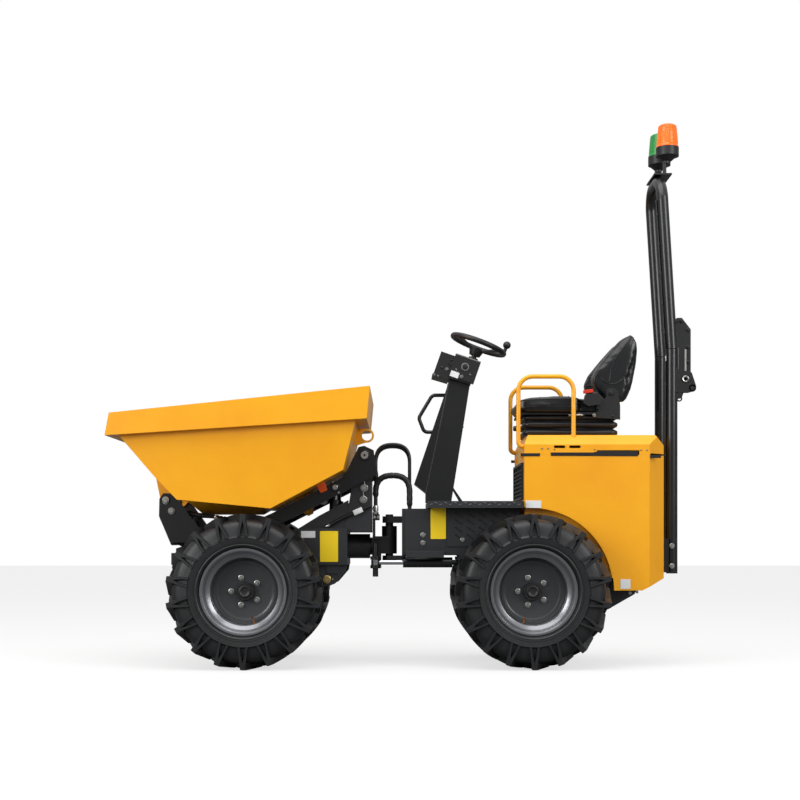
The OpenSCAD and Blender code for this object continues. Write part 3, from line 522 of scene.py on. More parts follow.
# of each wheel: its centre, its outward direction and its valve's place in degrees
wheelSpots = {
    "front_left": ((-0.7945, -0.368, 0.38), (0, -1, 0), -72),
    "front_right": ((-0.7945, 0.368, 0.38), (0, 1, 0), 40),
    "rear_left": ((0.6185, -0.368, 0.38), (0, -1, 0), -108),
    "rear_right": ((0.6185, 0.368, 0.38), (0, 1, 0), 130),
}


# half of the tyre's section, from the bead outward to the middle of the tread
def tyreHalf():
    w = wheel
    return [(w["bead"] + 0.0005, 0.0935), (w["flange"] + 0.001, 0.0935),
            (w["flange"] + 0.003, 0.0995), (0.219, 0.108), (0.224, 0.1165), (0.229, 0.1185),
            (0.233, 0.1165), (0.247, 0.1195), (0.260, 0.1210), (0.266, 0.1222), (0.269, 0.1195),
            (0.275, 0.1120), (0.292, 0.1085), (0.316, 0.1050), (0.336, 0.0960),
            (0.348, 0.0800), (0.3535, 0.0560), (0.3555, 0.0280), (0.3560, 0.0040)]


# a point of the wheel from its arc length along the tread radius, its radius and its depth
def rolled(arc, radius, depth, turn):
    a = turn + arc / radius
    return (radius * math.cos(a), radius * math.sin(a), depth)


def addLug(mould, turn, side):
    w = wheel
    # the two arms of the rib on the sidewall meet in a tip at the edge of the tread
    outline = [(-w["ribTip"], 0.3765), (w["ribTip"], 0.3765), (0.0165, 0.345), (0.0225, 0.300),
               (w["ribOpen"], w["ribLow"]), (w["ribOpen"] - w["ribArm"], w["ribLow"] + 0.001),
               (0.0085, 0.303), (0.0, 0.343), (-0.0085, 0.303),
               (w["ribArm"] - w["ribOpen"], w["ribLow"] + 0.001), (-w["ribOpen"], w["ribLow"]),
               (-0.0225, 0.300), (-0.0165, 0.345)]

    def face(radius):
        drop = max(0.0, radius - 0.335) / 0.0415
        return 0.1262 - 0.0075 * drop ** 2 - 0.10 * max(0.0, 0.285 - radius)

    small = inset(outline, 0.0022)
    rings = [[rolled(a, r, side * 0.092, turn) for a, r in outline],
             [rolled(a, r, side * (face(r) - 0.003), turn) for a, r in outline],
             [rolled(a, r, side * face(r), turn) for a, r in small]]
    mould.skin(rings)
    # the bar across half of the tread, swept round from the tip
    rings = []
    steps = 7
    for i in range(steps):
        t = i / (steps - 1)
        depth = 0.1195 - t * 0.1275
        arc = w["sweep"] * (0.35 * t + 0.65 * t * t)
        wide = w["lugWidth"] * (0.92 + 0.12 * t) / 2
        top = w["radius"] - 0.0035 * (1 - min(1, t * 5)) ** 2
        foot = 0.345
        ring = [(arc - wide - 0.004, foot), (arc - wide, top - 0.003), (arc - wide + 0.002, top),
                (arc + wide - 0.002, top), (arc + wide, top - 0.003), (arc + wide + 0.004, foot)]
        rings.append([rolled(a, r, side * depth, turn) for a, r in ring])
    mould.skin(rings)


def buildTyre(name, centre, outward):
    mould = Mould(name + ".tyre", name + "_wheel", tyreRubber)
    mould.at(axesAt(centre, outward, (1, 0, 0)))
    half = tyreHalf()
    mould.hoop(half + [(r, -z) for r, z in reversed(half)], 108)
    pitch = 2 * math.pi / wheel["lugs"]
    for i in range(wheel["lugs"]):
        addLug(mould, math.pi / 2 + pitch * i, 1)
        addLug(mould, math.pi / 2 + pitch * (i + 0.5), -1)
    # fine ridges round the sidewalls
    for side in (1, -1):
        for radius in (0.2385, 0.2545):
            mould.hoop([(radius, side * 0.116), (radius + 0.0006, side * 0.1206),
                        (radius + 0.0018, side * 0.1206), (radius + 0.0024, side * 0.116)], 96)
    piece = mould.done(38)
    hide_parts(name + "_tyre")


def buildRim(name, centre, outward, valveTurn):
    w = wheel
    disc = w["rimHalf"] - w["discIn"]
    mould = Mould(name + ".rim", name + "_wheel", rimPaint, discPaint, zinc, blackPlastic, copper)
    mould.at(axesAt(centre, outward, (1, 0, 0)))
    outer = [(0.2125, 0.0990), (0.2130, 0.0960), (0.2105, 0.0942), (0.1990, 0.0942),
             (0.1965, 0.0915), (0.1958, 0.0640), (0.1900, 0.0560), (0.1730, 0.0470),
             (0.1722, 0.0440)]
    inner = [(0.1662, 0.0440), (0.1670, 0.0505), (0.1835, 0.0600), (0.1900, 0.0670),
             (0.1903, 0.0800), (0.1945, 0.0845), (0.1948, 0.0925), (0.2005, 0.0985),
             (0.2065, 0.1000)]
    back = [(r, -z) for r, z in reversed(outer)]
    backIn = [(r, -z) for r, z in reversed(inner)]
    mould.hoop(outer + back + backIn + inner, 120)
    # the pressed disc with its rolled foot on the rim's well
    mould.slot = 1
    mould.hoop([(0.1664, disc + 0.034), (0.1640, disc + 0.034), (0.1600, disc + 0.014),
                (0.1500, disc + 0.0045), (0.1400, disc + 0.0040), (0.1345, disc + 0.0010),
                (0.1310, disc), (0.0400, disc), (0.0400, disc - 0.008), (0.1330, disc - 0.008),
                (0.1520, disc - 0.004), (0.1630, disc + 0.004), (0.1664, disc + 0.010)], 96)
    # the weld of the disc's foot
    mould.hoop([(0.1668, disc + 0.036), (0.1620, disc + 0.034), (0.1632, disc + 0.0385),
                (0.1668, disc + 0.041)], 96)
    mould.slot = 3
    # hub cap with a stepped, dished face
    mould.lathe([(w["cap"], disc - 0.002), (w["cap"], disc + 0.026),
                 (w["cap"] - 0.003, disc + 0.031), (0.0385, disc + 0.0315),
                 (0.0370, disc + 0.0285), (0.0310, disc + 0.0290), (0.0290, disc + 0.0360),
                 (0.0240, disc + 0.0375), (0.0190, disc + 0.0340), (0.0120, disc + 0.0325)], 48)
    # inner side of the hub
    mould.lathe([(0.052, disc - 0.008), (0.060, disc - 0.020), (0.060, disc - 0.038)], 32)
    for i in range(w["nuts"]):
        a = math.pi * (2 * i / w["nuts"] + 1)
        nut = axesAt(centre, outward, (1, 0, 0)) @ Matrix.Translation(
            (w["nutCircle"] * math.cos(a), w["nutCircle"] * math.sin(a), disc))
        mould.at(nut, 2)
        mould.lathe([(0.0138, 0), (0.0138, 0.0016), (0.0125, 0.0022)], 20)
        mould.skin([[(x, y, z) for x, y in hexagon(r)]
                    for r, z in ((0.0112, 0.002), (0.0112, 0.0125), (0.0098, 0.0145))])
        mould.lathe([(0.0068, 0.012), (0.0068, 0.019), (0.0058, 0.0202)], 14)
    # valve with its cap
    a = math.radians(valveTurn)
    stem = Vector((math.cos(a), math.sin(a), 0))
    mould.at(axesAt(centre, outward, (1, 0, 0)), 4)
    foot, mid = stem * 0.1700 + Vector((0, 0, 0.040)), stem * 0.154 + Vector((0, 0, 0.050))
    tip = stem * 0.136 + Vector((0, 0, 0.058))
    mould.tube([foot, mid, tip], [0.0052, 0.0040, 0.0036], 12)
    mould.tube([stem * 0.141 + Vector((0, 0, 0.056)), stem * 0.131 + Vector((0, 0, 0.0605))],
               0.0048, 12)
    piece = mould.done(30)
    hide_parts(name + "_rim")


for name, (centre, outward, valveTurn) in wheelSpots.items():
    buildTyre(name, centre, outward)
    buildRim(name, centre, outward, valveTurn)
print("stage: wheels")


# Seat

seatLook = {"voxel": 0.0055, "pressure": 4.0, "frames": 20}


# copies a soft solid of the frame, swells it as cloth by cap at most and keeps the mesh
def padFrom(name, node, cap, shrink):
    piece = bpy.data.objects.new(name, frame["nodes"][node].data.copy())
    scene.collection.objects.link(piece)
    remesh = piece.modifiers.new("remesh", "REMESH")
    remesh.mode = "VOXEL"
    remesh.voxel_size = seatLook["voxel"]
    bake(piece)
    for v in piece.data.vertices:
        v.co -= v.normal * shrink
    smooth = piece.modifiers.new("ease", "SMOOTH")
    smooth.factor, smooth.iterations = 0.5, 6
    bake(piece)
    before = [v.co.copy() for v in piece.data.vertices]
    cloth = piece.modifiers.new("cloth", "CLOTH")
    cloth.settings.use_pressure = True
    cloth.settings.uniform_pressure_force = seatLook["pressure"]
    cloth.settings.effector_weights.gravity = 0
    for number in range(1, seatLook["frames"] + 1):
        scene.frame_set(number)
    bake(piece)
    scene.frame_set(1)
    for v, old in zip(piece.data.vertices, before):
        step = v.co - old
        if step.length > cap:
            v.co = old + step.normalized() * cap
    ease = piece.modifiers.new("ease", "SMOOTH")
    ease.factor, ease.iterations = 0.5, 4
    bake(piece)
    return piece


def bake(piece):
    view = bpy.context.evaluated_depsgraph_get()
    view.update()
    data = bpy.data.meshes.new_from_object(piece.evaluated_get(view))
    piece.modifiers.clear()
    piece.data = data


def upholster(piece, node):
    piece.data.materials.clear()
    piece.data.materials.append(seatVinyl)
    piece.data.shade_smooth()
    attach(piece, "cover")
    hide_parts(node)


# a sewn cord laid on the surface of a pad
def welt(mould, piece, points, radius):
    laid = []
    for p in finer(rounded(points, 0.02, 6), 0.008):
        near, normal = piece.closest_point_on_mesh(p)[1:3]
        laid.append(near + normal * radius * 0.25)
    mould.tube(laid, radius, 6)


cushion = padFrom("seat.cushion", "seat_cushion", 0.007, 0.003)
back = padFrom("seat.back", "backrest", 0.008, 0.004)
seams = Mould("seat.seams", "cover", seatVinyl)
for side in (-1, 1):
    y = side * 240
    welt(seams, cushion, [spot(640, side * 150, 1325), spot(652, side * 205, 1332),
                          spot(700, side * 222, 1338), spot(930, side * 222, 1345),
                          spot(975, side * 186, 1340), spot(1055, side * 180, 1326)], 0.0022)
    welt(seams, cushion, [spot(640, y, 1296), spot(700, y, 1299), spot(940, y, 1302),
                          spot(972, side * 195, 1300), spot(1058, side * 190, 1296)], 0.002)
    outer = side * 195
    welt(seams, back, [spot(1228, outer, 1668), spot(1190, outer, 1618), spot(1140, outer, 1545),
                       spot(1118, outer, 1490), spot(1112, outer, 1432)], 0.0024)
    welt(seams, back, [spot(1236, outer, 1650), spot(1210, outer, 1580),
                       spot(1184, outer, 1520), spot(1172, outer, 1470)], 0.0024)
    welt(seams, back, [spot(1050, outer, 1470), spot(1078, outer, 1435), spot(1112, outer, 1418),
                       spot(1150, outer, 1424), spot(1180, outer, 1446),
                       spot(1236, outer, 1462)], 0.0026)
# welts across the cushion and the backrest's middle
for x in (760, 905):
    welt(seams, cushion, [spot(x, -215, 1370), spot(x, 215, 1370)], 0.002)
for z in (1440, 1530):
    welt(seams, back, [spot(960, -105, z), spot(960, 105, z)], 0.002)
seams.done()
upholster(cushion, "seat_cushion")
upholster(back, "backrest")

# rubber bellows under the seat, as folds round a rounded rectangle
bellowsLook = {"x": (678, 1160), "half": 179, "low": 1158.6, "high": 1266.5, "corner": 34}
folds = [(16, 1158.6), (12, 1162), (3, 1168), (0, 1176), (2, 1184), (12, 1190), (21, 1195),
         (22, 1199), (13, 1204), (3, 1209), (0, 1217), (2, 1225), (12, 1231), (21, 1235),
         (21, 1239), (12, 1243), (3, 1248), (1, 1254), (6, 1260), (16, 1264), (19, 1266.5)]


def bellowsRing(inward, z, step):
    b = bellowsLook
    x1, x2 = b["x"][0] + inward, b["x"][1] - inward
    half = b["half"] - inward
    corner = b["corner"] - inward * 0.4
    ring = []
    # each corner is followed by the straight side that leads to the next one
    for cx, cy, start, count in ((x2 - corner, half - corner, 0, 18),
                                 (x1 + corner, half - corner, 90, 13),
                                 (x1 + corner, corner - half, 180, 18),
                                 (x2 - corner, corner - half, 270, 13)):
        for k in range(9):
            a = math.radians(start + k * 11.25)
            ring.append((cx + corner * math.cos(a), cy + corner * math.sin(a)))
        run = (x2 - x1 if count == 18 else 2 * half) - 2 * corner
        dx, dy = {0: (-1, 0), 90: (0, -1), 180: (1, 0), 270: (0, 1)}[start]
        for k in range(count - 1):
            ring.append((ring[-1][0] + dx * run / count, ring[-1][1] + dy * run / count))
    made = []
    for x, y in ring:
        wave = 1.6 * math.sin(x / 31 + step * 1.9) * math.sin(y / 27 + step)
        sag = 1.8 * math.sin(x / 70 + step * 0.8) if 1 < step < 18 else 0
        pull = 1 - max(0, wave) / 200
        made.append(spot(919 + (x - 919) * pull, y * pull,
                         min(b["high"], max(b["low"], z + sag))))
    return made


bellows = Mould("seat.bellows", "cover", rubber("bellows rubber", rgb(24, 24, 25), 300, 0.2, 0.32))
bellows.skin([bellowsRing(inward, z, i) for i, (inward, z) in enumerate(folds)])
bellowsPiece = bellows.done(70)
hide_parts("seat_base")

# small parts of the seat: lever, knob, bolts, buckle
seatBits = Mould("seat.bits", "cover", zinc, blackPlastic, redPlastic)
seatBits.tube(rounded([spot(985, -178, 1264), spot(972, -196, 1264), spot(904, -200, 1262)],
                      0.01), 0.006, 12)
seatBits.at(axesAt(spot(1036, -190.5, 1264), (0, -1, 0)), 0).bolt(0.013)
for side in (-1, 1):
    seatBits.at(axesAt(spot(1119, side * 198.5, 1374), (0, side, 0)), 1).bolt(0.019, 0.4)
seatBits.at(axesAt(spot(1127, -198.5, 1258), (0, -1, 0)), 1).bolt(0.009, 0.2)
# adjusting knob at the front of the bellows
seatBits.at(axesAt(spot(684, -92, 1203), (-1, 0, 0)), 1)
seatBits.lathe([(0.004, -0.004), (0.004, 0.018), (0.0125, 0.020), (0.0135, 0.024),
                (0.0135, 0.046), (0.011, 0.050)], 20)
# belt buckle on its stalk, and the belt's tongue by the retractor
seatBits.at(Matrix.Identity(4), 1)
seatBits.tube([spot(1010, 203, 1290), spot(990, 208, 1330), spot(975, 210, 1352)], 0.005, 10)
seatBits.at(axesAt(spot(968, 211, 1362), (-0.35, 0, 1)), 1).block(
    (-0.010, -0.016, -0.022), (0.010, 0.016, 0.026), 0.003)
seatBits.slot = 2
seatBits.block((-0.0105, -0.010, 0.010), (-0.006, 0.010, 0.0265), 0.001)
# webbing that leaves the retractor, and the red tongue on it
seatBits.at(Matrix.Identity(4), 1)
seatBits.skin([[spot(x, -y, z) for x, y, z in ring] for ring in (
    [(1010, 196, 1368), (1054, 196, 1362), (1054, 199, 1362), (1010, 199, 1368)],
    [(1006, 190, 1384), (1050, 190, 1380), (1050, 192, 1380), (1006, 192, 1384)],
    [(1000, 172, 1390), (1044, 172, 1392), (1044, 174, 1390), (1000, 174, 1388)])])
seatBits.at(axesAt(spot(1004, -200, 1382), (0, -1, 0), (1, 0, 0.12)), 2).block(
    (-0.026, -0.009, -0.005), (0.024, 0.009, 0.005), 0.002)
seatBits.done()
print("stage: seat")


# Hoses over the articulation

hoseX, hoseBackX, humpX = -69, 104, -189
clampTop, valveTop, boxTop = 765.3, 730.3, 693.3
hoseBend, humpBend = 0.0835, 0.057
# of each hose to the rear: its depth, its radius in m and the top of its loop
rearHoses = ((-92, 0.009, 1122), (-66, 0.009, 1112), (-118, 0.0102, 962))
frontHoses, frontTop, frontRadius = (-38, -18), 1018, 0.007


def hoseLength(path):
    return sum((b - a).length for a, b in zip(path, path[1:]))


def buildHose(name, node, points, bend, radius, ends):
    dense = finer(rounded(points, bend, 14), 0.012)
    mould = Mould(name, None, hoseRubber)
    mould.tube(dense, radius, 14)
    piece = mould.done(60)
    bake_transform(piece)
    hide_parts(node)
    hoseLength(dense)
    return dense


for i, (y, radius, top) in enumerate(rearHoses):
    lowPath = buildHose(f"hose.rear.{i + 1}", "hoses",
                        [spot(hoseX, y, clampTop), spot(hoseX, y, top),
                         spot(hoseBackX, y, top), spot(hoseBackX, y, valveTop)],
                        hoseBend, radius,
                        (spot(hoseX + 30, y, 900), spot(60, y, 900)))
# fabric sleeve, gathered round the lowest hose and closed at both ends
sleeve = Mould("hose.sleeve", None, sealRubber)
run = lowPath[int(0.14 * len(lowPath)):int(0.9 * len(lowPath))]
radii = [0.0150 + 0.0007 * math.sin(k * 2.1) for k in range(len(run))]
radii[0] = radii[-1] = 0.0112
sleeve.tube(run, radii, 16)
piece = sleeve.done(60)
tuple(spot(hoseX + 30, -118, 900))
tuple(spot(60, -118, 900))
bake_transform(piece)

for i, y in enumerate(frontHoses):
    buildHose(f"hose.tower.{i + 1}", "tower_hoses",
              [spot(hoseX, y, clampTop), spot(hoseX, y, frontTop), spot(humpX, y, frontTop),
               spot(humpX, y, boxTop)], humpBend, frontRadius,
              (spot(hoseX - 20, y, 900), spot(humpX + 20, y, 900)))


# crimped fitting with a hexagon, standing on the clamp, the valve block or the box
def fitting(mould, place, radius):
    mould.at(axesAt(place))
    mould.prism(hexagon(radius * 1.5), -0.001, 0.010, 0.001)
    mould.lathe([(radius * 1.12, 0.009), (radius * 1.12, 0.013), (radius * 1.34, 0.0145),
                 (radius * 1.34, 0.040), (radius * 1.2, 0.043)], 20)
    for z in (0.019, 0.026, 0.033):
        mould.hoop([(radius * 1.33, z - 0.002), (radius * 1.42, z - 0.001),
                    (radius * 1.42, z + 0.001), (radius * 1.33, z + 0.002)], 20)


yokeFittings = Mould("hose.fittings.clamp", "centre_yoke", zinc)
rearFittings = Mould("hose.fittings.valve", "rear_frame", zinc, bluePlastic)
boxFittings = Mould("hose.fittings.box", "front_frame", zinc)
for y, radius, top in rearHoses:
    fitting(yokeFittings, spot(hoseX, y, clampTop), radius)
    fitting(rearFittings, spot(hoseBackX, y, valveTop), radius)
for y in frontHoses:
    fitting(yokeFittings, spot(hoseX, y, clampTop), frontRadius)
    fitting(boxFittings, spot(humpX, y, boxTop), frontRadius)
for x in (-76, -56):
    yokeFittings.at(axesAt(spot(x, -134, 748), (0, -1, 0))).bolt(0.010)
yokeFittings.done()
rearFittings.at(axesAt(spot(126, -118, 742), (0, -1, 0)), 1)
rearFittings.lathe([(0.006, -0.004), (0.006, 0.006), (0.011, 0.008), (0.011, 0.018),
                    (0.009, 0.020)], 18)
rearFittings.done()
boxFittings.done()
print("stage: hoses")


# Small parts

# the camera in mm and pixels: its distance from the middle plane, its focal length, and the
# pixel and the place on its axis
sight = {"distance": 7315, "focal": 1412, "px": 400, "py": 542, "x": 55, "z": 623}


# the point at a depth y, in mm, that the camera sees at a pixel of the photograph
def seen(px, py, y):
    scale = (sight["distance"] + y) / sight["focal"]
    return spot((px - sight["px"]) * scale + sight["x"], y,
                sight["z"] + (sight["py"] - py) * scale)


left = (0, -1, 0)


# thin plate with rounded corners on a side face, given by its corners in mm
def thinPlate(mould, x1, x2, z1, z2, y, slot=0, corner=0.005, toward=-1):
    thick = 0.0012
    mould.at(axesAt(spot((x1 + x2) / 2, y, (z1 + z2) / 2), (0, toward, 0), (-toward, 0, 0)), slot)
    w, h = abs(x2 - x1) / 2000, abs(z2 - z1) / 2000
    outline = rounded([(-w, -h, 0), (w, -h, 0), (w, h, 0), (-w, h, 0)], corner, 4, closed=True)
    mould.prism([(p.x, p.y) for p in outline], 0, thick, thick * 0.3)


# bolts by body: pixel, depth, size across the flats in m, finish slot and form
boltSpots = {
    "rear_frame": [
        (423, 535, -215, 0.016, 0, "bolt"), (423, 543, -215, 0.016, 0, "bolt"),
        (462.5, 539.7, -221.3, 0.014, 0, "bolt"), (462.7, 427, -75, 0.010, 1, "cap"),
        (672, 546, -188.5, 0.017, 0, "bolt"), (672, 566, -188.5, 0.017, 0, "bolt"),
        (688, 380, -182, 0.013, 1, "bolt"),
        (630, 593, -88, 0.012, 0, "bolt"), (637, 592, -88, 0.010, 0, "bolt"),
    ],
    "cover": [
        (542, 448.5, -300, 0.0085, 0, "cap"), (548, 448.5, -300, 0.0085, 0, "cap"),
        (641, 450, -300, 0.0085, 0, "cap"), (647, 450, -300, 0.0085, 0, "cap"),
        (554.5, 449.5, -300, 0.006, 1, "cap"), (594.6, 449.7, -300, 0.006, 1, "cap"),
    ],
    "roll_hoop": [
        (676, 321, -167, 0.015, 1, "bolt"), (681.5, 321, -167, 0.015, 1, "bolt"),
        (688, 330, -167, 0.013, 1, "bolt"), (688, 347, -167, 0.013, 1, "bolt"),
        (688, 362, -167, 0.013, 1, "bolt"),
    ],
    "lift_frame": [
        (165.7, 501, -222, 0.022, 0, "bolt"), (171.5, 511, -222, 0.022, 0, "bolt"),
        (333, 482, -222, 0.011, 0, "cap"), (338.8, 492.5, -222, 0.012, 0, "cap"),
    ],
    "front_frame": [
        (364.2, 487.9, -190, 0.025, 0, "bolt"), (363.4, 499.6, -190, 0.025, 0, "bolt"),
        (326.9, 579.4, -208, 0.026, 2, "bolt"), (332.6, 579.2, -208, 0.010, 0, "cap"),
    ],
}
for body, spots in boltSpots.items():
    mould = Mould(f"bolts.{body}", body, zinc, blackPaint, goldZinc)
    for px, py, y, size, slot, form in spots:
        place = seen(px, py, y)
        for side in (-1, 1):
            mould.at(axesAt(onSide(place, side), (0, side, 0)), slot)
            if form == "bolt":
                mould.bolt(size, 0.3)
            else:
                mould.capScrew(size)
    mould.done()

# blank plates and labels
signs = Mould("signs.front", "front_frame", signYellow, signWhite)
for toward in (-1, 1):
    thinPlate(signs, -347, -256, 523, 678, 225.2 * toward, 0, toward=toward)
    thinPlate(signs, -442, -370, 644, 678, 225.2 * toward, 1, corner=0.001, toward=toward)
signs.done()
signs = Mould("signs.rear", "rear_frame", signYellow, signWhite)
for toward in (-1, 1):
    thinPlate(signs, 209, 286, 638, 794, 215.2 * toward, 0, toward=toward)
    thinPlate(signs, 679.5, 756.5, 792, 829, 300.2 * toward, 1, corner=0.001, toward=toward)
thinPlate(signs, 1150, 1200, 390, 438, -300.2, 1, corner=0.001)
signs.done()

# rubber seal between the body and the cover
seal = Mould("cover.seal", "rear_frame", sealRubber)
strips = [((654, 1049), (750, 1049), (750, 1064), (654, 1064)),
          ((804, 1051), (1237, 1049), (1237, 1075), (1040, 1075), (1015, 1068), (804, 1068)),
          ((1298, 1040), (1352, 1040), (1352, 1055), (1298, 1055))]
for side in (-1, 1):
    seal.at(axesAt(spot(0, side * 299.6, 0), (0, side, 0)))
    for strip in strips:
        outline = strip if side < 0 else strip[::-1]
        seal.prism([(x / 1000, -side * z / 1000) for x, z in outline], 0, 0.003, 0.0008)
seal.done()

# weld beads round the feet of the handrails
welds = Mould("handrail.welds", "cover", yellowPaint)
for side in (-1, 1):
    welds.at(axesAt(spot(923, side * 243, 1158.4)))
    welds.hoop([(0.0105, -0.0015), (0.0150, 0), (0.0125, 0.0032), (0.0105, 0.0046)], 28)
welds.done(60)

# control panel: sockets, key switch, lamps, label and screws
panelBits = Mould("panel.bits", "rear_frame", blackPlastic, zinc, signWhite, greyPlastic)


def onPanel(px, py, y, slot):
    panelBits.at(axesAt(seen(px, py, y), left, (1, 0, -0.3)), slot)


onPanel(452.0, 362.6, -105, 0)
panelBits.lathe([(0.017, -0.002), (0.017, 0.004), (0.0155, 0.006), (0.012, 0.006),
                 (0.0105, 0.003), (0.004, 0.0025)], 28)
onPanel(465.2, 366.9, -113, 1)
panelBits.lathe([(0.0205, -0.002), (0.0205, 0.003), (0.019, 0.0048), (0.0155, 0.0048),
                 (0.0150, 0.0012)], 32)
panelBits.slot = 0
panelBits.lathe([(0.0148, 0.001), (0.0148, 0.0052), (0.010, 0.0068), (0.006, 0.0068)], 28)
panelBits.block((-0.0014, -0.0075, 0.005), (0.0014, 0.0075, 0.0145), 0.0006)
for px, py, y, size, slot in ((441.8, 367.3, -105, 0.010, 0), (446.8, 369.2, -105, 0.015, 3),
                              (461.5, 376.8, -113, 0.017, 3)):
    onPanel(px, py, y, slot)
    panelBits.lathe([(size * 0.62, -0.001), (size * 0.62, 0.002), (size * 0.5, 0.0028),
                     (size * 0.45, 0.0055), (size * 0.2, 0.0068)], 20)
for px, py, y in ((456.2, 369.5, -113), (470.1, 374.6, -113), (434.5, 374.6, -105),
                  (438.0, 375.8, -105)):
    onPanel(px, py, y, 1)
    panelBits.capScrew(0.0095)
# blank label, parallel to the panel's edges
panelBits.at(axesAt(seen(454.6, 374.4, -113.2), left, (1, 0, -0.34)), 2)
panelBits.prism([(-0.022, -0.0150), (0.022, -0.0150), (0.022, 0.0150), (-0.022, 0.0150)],
                0, 0.0012, 0.0003)
# zinc strip along the top of the raised sub-panel, a painted highlight on its top edge
panelBits.at(axesAt(spot(404, -113, 1562.5), left, (1, 0, -0.344)), 1)
panelBits.block((-0.066, -0.0035, -0.004), (0.066, 0.0025, 0.0012), 0.0006)
panelBits.done()

# folded front edges of the steering column, in grey paint lighter than the column's black: a
# painted highlight along each edge
edge = Mould("column.edge", "rear_frame", greyPaint)
for side in (-1, 1):
    edge.tube(rounded([spot(308, side * 72, 1448), spot(187.5, side * 72, 876)], 0.01), 0.0045, 8)
edge.done(60)

# catch under the rear of the skip
catch = Mould("skip.catch", "skip", orangePaint)
catch.at(axesAt(seen(322.2, 487.4, -230), left, (1, 0, 0.47)))
corners = [(-0.024, 0.026, 0), (-0.020, -0.024, 0), (0.018, -0.024, 0), (0.024, 0.026, 0)]
outline = rounded(corners, 0.010, 4, closed=True)
catch.prism([(p.x, p.y) for p in outline], -0.005, 0.005, 0.002)
catch.done()

# pins of the lift frame: bright faces in dark collars
pins = Mould("lift.pins", "lift_frame", zinc, blackPaint)
for side in (-1, 1):
    for place, radius, collar in (((-271, 898), 0.0135, 0.0235), ((-123, 1059), 0.020, 0.028),
                                  ((-1121, 835), 0.017, 0.0)):
        pins.at(axesAt(spot(place[0], side * 222, place[1]), (0, side, 0)))
        if collar:
            pins.slot = 1
            pins.lathe([(collar, -0.001), (collar, 0.006), (collar - 0.002, 0.008),
                        (radius + 0.002, 0.008)], 36)
        pins.slot = 0
        pins.lathe([(radius, 0), (radius, 0.0094), (radius - 0.0015, 0.0104),
                    (radius * 0.3, 0.0104), (radius * 0.24, 0.0090)], 32)
pins.done()

# hydraulic hoses between the arms, in front of the skip's belly
liftHoses = Mould("lift.hoses", "lift_frame", hoseRubber, zinc)
for y, rise, radius in ((-178, 0, 0.009), (-156, 6, 0.008), (-132, -4, 0.009), (150, 0, 0.009)):
    liftHoses.at(Matrix.Identity(4), 0)
    path = rounded([spot(-1068, y, 668), spot(-1044, y, 772 + rise), spot(-965, y, 758 + rise),
                    spot(-880, y, 752), spot(-800, y, 640)], 0.03, 6)
    liftHoses.tube(path, radius, 12)
    for x, z in ((-1052, 735 + rise), (-872, 744)):
        liftHoses.at(axesAt(spot(x, y, z), (0.25, 0, 1) if x < -1000 else (0.7, 0, -1)), 1)
        liftHoses.lathe([(radius * 1.3, -0.012), (radius * 1.4, -0.009), (radius * 1.4, 0.009),
                         (radius * 1.3, 0.012)], 16)
liftHoses.done(60)

# hose with a blank tag beside the tower
tagged = Mould("tower.hose", "front_frame", hoseRubber, signWhite, zinc)
for side in (-1, 1):
    points = [onSide(seen(*p), side) for p in (
        (327, 526.5, -197), (344, 517.2, -203), (358, 511.2, -203), (371, 505.8, -199))]
    tagged.at(Matrix.Identity(4), 0)
    tagged.tube(rounded(points, 0.05, 5), 0.0085, 12)
    tagged.at(axesAt(points[0], points[0] - points[1]), 2)
    tagged.lathe([(0.0105, -0.016), (0.0112, -0.014), (0.0112, 0.004), (0.0095, 0.006)], 16)
    tagged.at(axesAt(points[2] + Vector((0, side * 0.0086, 0)), (0, side, 0), (1, 0, 0.45)), 1)
    tagged.prism([(-0.024, -0.013), (0.024, -0.013), (0.024, 0.013), (-0.024, 0.013)],
                 0, 0.0014, 0.0004)
tagged.done(60)

# lanyards of the tower's lock pins
lanyard = Mould("tower.lanyards", "front_frame", zinc)
for side in (-1, 1):
    points = [onSide(seen(*p), side) for p in (
        (364.2, 481.5, -197), (365.3, 486.5, -199.5), (363.4, 493, -197), (363.6, 499, -199.5))]
    lanyard.tube(rounded(points, 0.02, 5), 0.0016, 8)
lanyard.done(60)
print("stage: small parts")


# Roll bar pins and links, beacons

lock = Mould("rollbar.locks", "rear_frame", blackPaint)
for side in (-1, 1):
    # lifting eye on the end of each hinge bracket, and a lower one on the post
    lock.at(axesAt(spot(1533, side * 177, 1401), (0, side, 0)))
    lock.hoop([(0.0110, -0.005), (0.0185, -0.005), (0.0185, 0.005), (0.0110, 0.005)], 32)
    lock.at(axesAt(spot(1470, side * 160, 1349), (0, side, 0)))
    lock.hoop([(0.0085, -0.004), (0.0150, -0.004), (0.0150, 0.004), (0.0085, 0.004)], 28)
lock.done()
hoopLock = Mould("rollbar.pins", "roll_hoop", zinc)
for side in (-1, 1):
    # pin with a wire ring, and the flat link bar above it
    hoopLock.at(axesAt(spot(1497, side * 189, 1447), (0, side, 0)))
    hoopLock.lathe([(0.0125, -0.002), (0.0125, 0.0008), (0.006, 0.001)], 24)
    hoopLock.at(Matrix.Identity(4))
    ring = [spot(1497 + 15 * math.cos(a / 9 * math.pi * 2), side * 189.5,
                 1447 + 15 * math.sin(a / 9 * math.pi * 2)) for a in range(10)]
    hoopLock.tube(rounded(ring, 0.006, 3), 0.0022, 8)
    near, far = sorted((side * 167.3, side * 171.1))
    hoopLock.block(spot(1495, near, 1476), spot(1505, far, 1598), 0.001)
hoopLock.done()


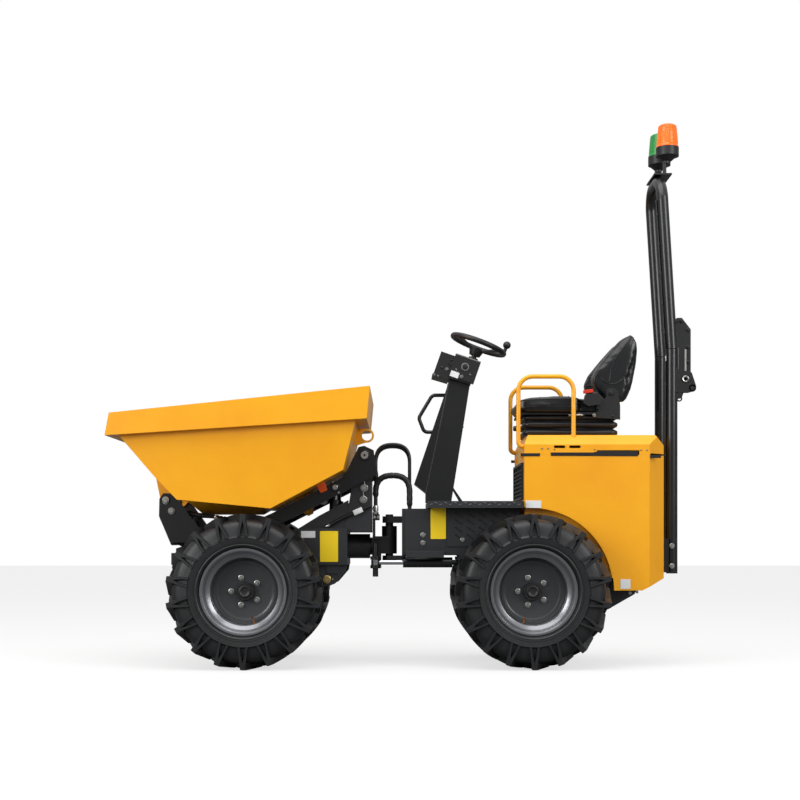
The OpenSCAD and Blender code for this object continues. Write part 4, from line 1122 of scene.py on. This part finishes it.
def beacon(name, node, x, y, finish):
    mould = Mould(name, "roll_hoop", finish)
    mould.at(axesAt(spot(x, y, 2641.4)))
    profile = [(0.0565, 0), (0.0568, 0.004), (0.0555, 0.008), (0.0545, 0.012)]
    for k in range(14):
        z = 0.014 + k * 0.0066
        r = 0.0545 - 0.0075 * (k / 13) ** 1.3
        profile += [(r, z), (r - 0.0011, z + 0.0028), (r, z + 0.0052)]
    profile += [(0.0440, 0.110), (0.0380, 0.1145), (0.0260, 0.1168), (0.0100, 0.1174)]
    mould.lathe(profile, 48)
    piece = mould.done(50)
    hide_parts(node)


beacon("beacon.amber", "amber_lens", 1424, -85, amberLens)
beacon("beacon.green", "green_lens", 1415, 90, greenLens)
print("stage: roll bar and beacons")


# Cables and tread

# cable of the beacons, down the front of the hoop's left tube and of the post below it
def layHarness(name, body, lean, heights, clips):
    def along(z):
        return spot(1399 - lean * (z - 1598), -160, z)

    mould = Mould(name, body, hoseRubber, blackPlastic)
    mould.tube([along(z) for z in heights], 0.0048, 8)
    for z in clips:
        mould.at(axesAt(along(z)), 1)
        mould.lathe([(0.0062, -0.008), (0.0068, -0.006), (0.0068, 0.006), (0.0062, 0.008)], 12)
    mould.done(60)


layHarness("rollbar.harness", "roll_hoop", 0.0612, range(1605, 2360, 50), range(1680, 2300, 150))
layHarness("rollbar.harness.low", "rear_frame", 0, range(640, 1596, 60), range(700, 1590, 180))

# raised dashes of the tread plate along the edge of the deck; their light grey plastic is a
# painted highlight on the deck's edge
tread = Mould("deck.tread", "rear_frame", greyPlastic)
dash = [(-0.0095, 0), (-0.006, -0.0019), (0.006, -0.0019), (0.0095, 0), (0.006, 0.0019),
        (-0.006, 0.0019)]
dashCount, dashStart, dashPitch, dashLean = 19, 431, 4.9, 0.35
for k in range(dashCount):
    high, low = (seen(dashStart + k * dashPitch, py, -330.2) for py in (502.8, 504.4))
    tread.at(axesAt(high if k % 2 else low, left, (1, 0, -dashLean if k % 2 else dashLean)))
    tread.prism(dash, 0, 0.0016, 0.0006)
    # the right side's dashes all lean one way
    tread.at(axesAt(onSide(high, 1), (0, 1, 0), (-1, 0, dashLean)))
    tread.prism(dash, 0, 0.0016, 0.0006)
tread.done()
print("stage: cables and tread")
